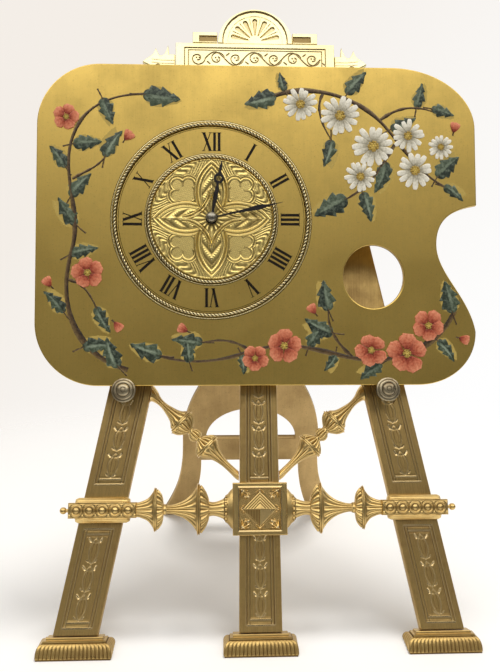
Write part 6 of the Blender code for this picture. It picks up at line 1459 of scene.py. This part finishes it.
# Share of a screw head's radius, then of its height
SCREW_HEAD = ((0.97, 0.0), (1.0, 0.2), (1.0, 0.62), (0.86, 0.86), (0.5, 1.0))
fitting_finish = metal("bracket brass", CAST_BRASS, 800.0, stain=0.6, stain_size=60.0, rough=0.32,
                       streak=0.4, bump=0.03)


def give_finish(finish, *names):
    """A new finish for CAD pieces whose shapes already serve."""
    for name in names:
        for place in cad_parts[name].material_slots:
            place.material = finish


def slotted_screw(name, spot, place, tip, shank, under, head, tall):
    """A cheese-headed steel screw with a milled slot, in place of the CAD screw of its name."""
    profile = [(0.05 * MM, tip), (shank, tip + 0.2 * MM), (shank, under)]
    profile += [(head * wide, under + tall * share) for wide, share in SCREW_HEAD]
    profile.append((0.05 * MM, under + tall))
    holder = in_scene(name, turned_mesh(name, profile, 32, spot))
    cutter_mesh = bpy.data.meshes.new("slot")
    bm = bmesh.new()
    top = Matrix.Translation((spot[0], under + tall, spot[1])) @ Matrix.Rotation(SLOT_TURN, 4, "Y")
    slot = Matrix.Diagonal((head * 3, tall * 1.1, head * 0.28, 1.0))
    bmesh.ops.create_cube(bm, size=1.0, matrix=top @ slot)
    bm.to_mesh(cutter_mesh)
    bm.free()
    cutter = in_scene("slot", cutter_mesh)
    cut = holder.modifiers.new("slot", "BOOLEAN")
    cut.operation = "DIFFERENCE"
    cut.object = cutter
    set_piece(f"{name}_slotted", finished_mesh(holder), place, steel_finish, "easel", name)
    bpy.data.objects.remove(cutter)


give_finish(fitting_finish, "strut_bracket")
give_finish(steel_finish, "hinge_pin")
for name, side in (("left", -1), ("right", 1)):
    spot = (side * (KNUCKLE_HALF + 2.5 * MM) / 2, HINGE_HEIGHT + 14.6 * MM)
    slotted_screw(f"{name}_bracket_screw", spot, EASEL, SEAT, 0.9 * MM, LEG_THICK + 1.8 * MM, 1.7 * MM,
                  0.8 * MM)


# Movement case: a spun brass drum screwed to the palette's back by its flange, with a pressed cover. The
# winding key and the hand-setting knob pass through the cover.
SCREW_REACH = 30.3 * MM
CASE_DEPTH = 11.1 * MM
CASE_STEPS = 128
COVER_BACK = CASE_DEPTH + SEAT + 1.0 * MM
BARREL_DROP = -13.05 * MM
CASE_BRASS = ((0.74, 0.54, 0.22), (0.45, 0.31, 0.12), (0.15, 0.09, 0.03))

case_finish = metal("spun case brass", CASE_BRASS, 700.0, stain=0.55, stain_size=50.0, rough=0.26,
                    streak=0.45, bump=0.02)
wall = mm_line(((27.0, 0.0), (32.3, 0.0), (32.6, 0.3), (32.3, 0.8), (31.8, 1.0), (28.7, 1.0), (28.15, 1.2),
                (28.0, 1.6)), SEAT)
wall += mm_line(((28.0, -2.4), (27.75, -2.2), (27.75, -1.9), (28.0, -1.7), (28.0, -0.2), (27.8, 0.0),
                 (27.0, 0.0)), CASE_DEPTH)
dirt = [0.2, 0.2, 0.3, 0.1, 0.1, 0.5, 0.6, 0.2, 0.1, 0.8, 0.8, 0.1, 0.1, 0.3, 0.3]
set_piece("case_drum", ring_mesh("case", wall, CASE_STEPS, dirt), DIAL, case_finish, "easel",
          "movement_case")

cover = mm_line(((1.25, 0.0), (27.7, 0.0), (28.0, 0.25)), CASE_DEPTH + SEAT)
cover += mm_line(((28.0, -0.3), (27.7, 0.0), (25.4, 0.0), (25.1, -0.35), (24.7, -0.35), (24.3, -0.05),
                  (1.45, -0.05), (1.25, -0.2)), COVER_BACK)
dirt = [0.1, 0.1, 0.4, 0.2, 0.1, 0.3, 0.9, 0.9, 0.3, 0.3, 0.5]
set_piece("case_cover", ring_mesh("cover", cover, CASE_STEPS, dirt), DIAL, case_finish, "easel",
          "back_cover")

for number, angle in enumerate((30.0, 150.0, 270.0), 1):
    spot = (SCREW_REACH * cos(radians(angle)), SCREW_REACH * sin(radians(angle)))
    slotted_screw(f"case_screw_{number}", spot, DIAL, -1.4 * MM, 0.8 * MM, SEAT + 1.3 * MM, 1.4 * MM,
                  0.7 * MM)

KEY_REACH = 24.0 * MM
KEY_THICK = 1.8 * MM
shank = mm_line(((1.2, 0.0), (2.0, 0.0)), COVER_BACK + SEAT)
shank += mm_line(((2.1, 0.6), (2.1, 1.6), (1.75, 2.0), (1.75, 3.8), (2.1, 4.2), (2.0, 5.2), (1.2, 6.4)),
                 COVER_BACK)
key_parts = [turned_mesh("shank", shank, 32)]
for side in (-1, 1):
    wing = [(side * (3.55 + 2.8 * cos(t)), -3.2 + 2.95 * sin(t) + 0.15 * cos(t))
            for t in np.linspace(0, 2 * pi, 36, endpoint=False)]
    eye = [(side * (3.9 + 1.1 * cos(t)), -3.1 + 1.3 * sin(t))
           for t in np.linspace(0, 2 * pi, 24, endpoint=False)]
    flat = sheet_mesh("wing", mm_line(wing, KEY_REACH), KEY_THICK / 2, -KEY_THICK / 2, 0.4 * MM,
                      [mm_line(eye, KEY_REACH)])
    flat.transform(Matrix(((1, 0, 0, 0), (0, 0, 1, 0), (0, 1, 0, 0), (0, 0, 0, 1))))
    key_parts.append(flat)
set_piece("key_butterfly", key_parts, DIAL @ Matrix.Translation((0.0, 0.0, BARREL_DROP)), rail_finish,
          "winder", "winding_key")

KNOB_REACH = 21.5 * MM
neck = mm_line(((0.95, 0.45), (1.7, 0.5), (1.8, 0.9)), COVER_BACK) + mm_line([(1.8, -3.5)], KNOB_REACH)
grip = mm_line(((1.8, -3.4), (3.4, -3.4), (3.9, -3.0), (3.9, -0.55), (3.5, -0.15), (2.4, -0.05), (0.1, 0.0)),
               KNOB_REACH)
grip = turned_mesh("grip", grip, 216, groove=[0.3, 0.3, 0.2, 0.2, 0.1, 0.1, 0.1], lobes=36, lobe_depth=0.07)
set_piece("knob_turning", [turned_mesh("neck", neck, 40), grip], DIAL, case_finish, "minute",
          "hand_set_knob")


# Movement: a small spring movement between two brass plates, inside the drum. Its wheels are brass, its
# arbors, screws, escape wheel and lever are steel, and its springs are blued.
train_finish = metal("turned train brass", CASE_BRASS, 1200.0, stain=0.25, stain_size=120.0, rough=0.24,
                     streak=0.3, bump=0.01)
give_finish(train_finish, "front_plate", "back_plate", "minute_wheel", "hour_wheel", "barrel", "barrel_cap",
            "centre_wheel", "third_wheel", "fourth_wheel", "balance_wheel")
give_finish(steel_finish, "centre_arbor", "barrel_arbor", "ratchet_wheel", "click", "click_spring",
            "escape_wheel", "pallet_lever", "plate_screw_1", "plate_screw_2", "plate_screw_3")
give_finish(blued_finish, "mainspring", "hairspring")

# Table top and room: the clock was photographed on a white sheet under daylight from above and behind
# the camera. The sheet runs up behind as a pale backdrop, and the brass mirrors a dim room that grows
# bright overhead.
SHEET_SIZE = 6.0
SHEET_WHITE = (0.97, 0.975, 0.975)
FADE_NEAR = 0.16
FADE_FAR = 0.45
# How high in the room, from the floor to the ceiling, then how bright
ROOM_STOPS = ((0.0, 0.20), (0.50, 0.11), (0.56, 0.12), (0.63, 0.17), (0.70, 0.15), (0.75, 0.14), (0.78, 0.34),
              (0.81, 1.35), (0.85, 2.7), (0.90, 2.1), (1.0, 1.4))
ROOM_WARMTH = (1.0, 0.97, 0.93)
SOFT_LIGHT = 0.64
BACKDROP_SHADED_TOP = (0.905, 0.855, 0.80)
BACKDROP_WHITE = (1.0, 1.0, 1.0)


bpy.ops.mesh.primitive_plane_add(size=SHEET_SIZE, location=(0.0, 0.0, 0.0))
sheet = bpy.context.object
sheet.name = "table_sheet"
paper, tree, surface = new_finish("white sheet", {"Base Color": (*SHEET_WHITE, 1.0), "Roughness": 0.9,
                                                  "Specular IOR Level": 0.1})
place = node(tree, "TexCoord").outputs["Object"]
away = node(tree, "VectorMath", {0: place}, operation="LENGTH")
fade = node(tree, "MapRange", {"Value": away.outputs["Value"], "From Min": FADE_NEAR, "From Max": FADE_FAR},
            interpolation_type="SMOOTHSTEP")
clear = node(tree, "BsdfTransparent")
mixed = node(tree, "MixShader", {"Fac": fade.outputs[0], 1: surface.outputs[0], 2: clear.outputs[0]})
tree.links.new(mixed.outputs[0], tree.nodes["Material Output"].inputs["Surface"])
sheet.data.materials.append(paper)

world = bpy.data.worlds.new("room")
bpy.context.scene.world = world
world.use_nodes = True
world.cycles.sampling_method = "NONE"
sky = world.node_tree
split = node(sky, "SeparateXYZ", {"Vector": node(sky, "TexCoord").outputs["Generated"]})
height = node(sky, "MapRange", {"Value": split.outputs["Z"], "From Min": -1.0})
ramp = node(sky, "ValToRGB", {"Fac": height.outputs[0]})
ramp.color_ramp.elements.remove(ramp.color_ramp.elements[0])
for place, (stop, level) in enumerate(ROOM_STOPS):
    element = ramp.color_ramp.elements[0] if place == 0 else ramp.color_ramp.elements.new(stop)
    element.position = stop
    element.color = (*(level * warmth for warmth in ROOM_WARMTH), 1.0)
rays = node(sky, "LightPath")
# Painted shade on the backdrop: creamy and darker at the top left, turning white towards the right and the
# table
across = maths(sky, "MULTIPLY_ADD", split.outputs["X"], 1.3, 0.25)
whiter = maths(sky, "MULTIPLY_ADD", split.outputs["Z"], -1.2, across, clamp=True)
backdrop = blend_colours(sky, whiter, (*BACKDROP_SHADED_TOP, 1.0), (*BACKDROP_WHITE, 1.0))
behind = maths(sky, "GREATER_THAN", split.outputs["Y"], 0.15)
mirrored_ray = maths(sky, "MAXIMUM", rays.outputs["Is Glossy Ray"], rays.outputs["Is Transmission Ray"])
shown = maths(sky, "MAXIMUM", rays.outputs["Is Camera Ray"], maths(sky, "MULTIPLY", mirrored_ray, behind))
level_colour = (*(SOFT_LIGHT * warmth for warmth in ROOM_WARMTH), 1.0)
lit = blend_colours(sky, mirrored_ray, level_colour, ramp.outputs["Color"])
sky.links.new(blend_colours(sky, shown, lit, backdrop), sky.nodes["Background"].inputs["Color"])

# The window's light from above
LAMP_POWER = 7.8
LAMP_SIZE = 0.30
LAMP_AT = (0.12, 0.14, 1.2)
LAMP_AIM = (0.0, 0.04, 0.0)

lamp_data = bpy.data.lights.new("window", "AREA")
lamp_data.energy = LAMP_POWER
lamp_data.size = LAMP_SIZE
lamp_data.color = ROOM_WARMTH
lamp = in_scene("window", lamp_data)
lamp.visible_glossy = False
lamp.location = LAMP_AT
lamp.rotation_euler = (Vector(LAMP_AIM) - lamp.location).to_track_quat("-Z", "Y").to_euler()

# Camera, fitted to the photograph
CAMERA_AT = (-0.0183, -0.2818, 0.1980)
CAMERA_PITCH = radians(11.81)
CAMERA_YAW = radians(2.52)
CAMERA_ROLL = radians(0.47)
FOCAL_PIXELS = 738.0
LONG_SIDE_PIXELS = 672.0

forward = Vector((sin(CAMERA_YAW) * cos(CAMERA_PITCH), cos(CAMERA_YAW) * cos(CAMERA_PITCH),
                  -sin(CAMERA_PITCH)))
level = Vector((cos(CAMERA_YAW), -sin(CAMERA_YAW), 0.0))
upright = level.cross(forward)
right = level * cos(CAMERA_ROLL) + upright * sin(CAMERA_ROLL)
up = upright * cos(CAMERA_ROLL) - level * sin(CAMERA_ROLL)
lens = bpy.data.cameras.new("camera")
lens.sensor_width = 36.0
lens.lens = FOCAL_PIXELS * lens.sensor_width / LONG_SIDE_PIXELS
lens.clip_start = 0.01
camera = in_scene("camera", lens)
camera.matrix_world = Matrix((right, up, -forward)).transposed().to_4x4()
camera.location = CAMERA_AT
bpy.context.scene.camera = camera
bpy.context.scene.view_settings.view_transform = "Standard"
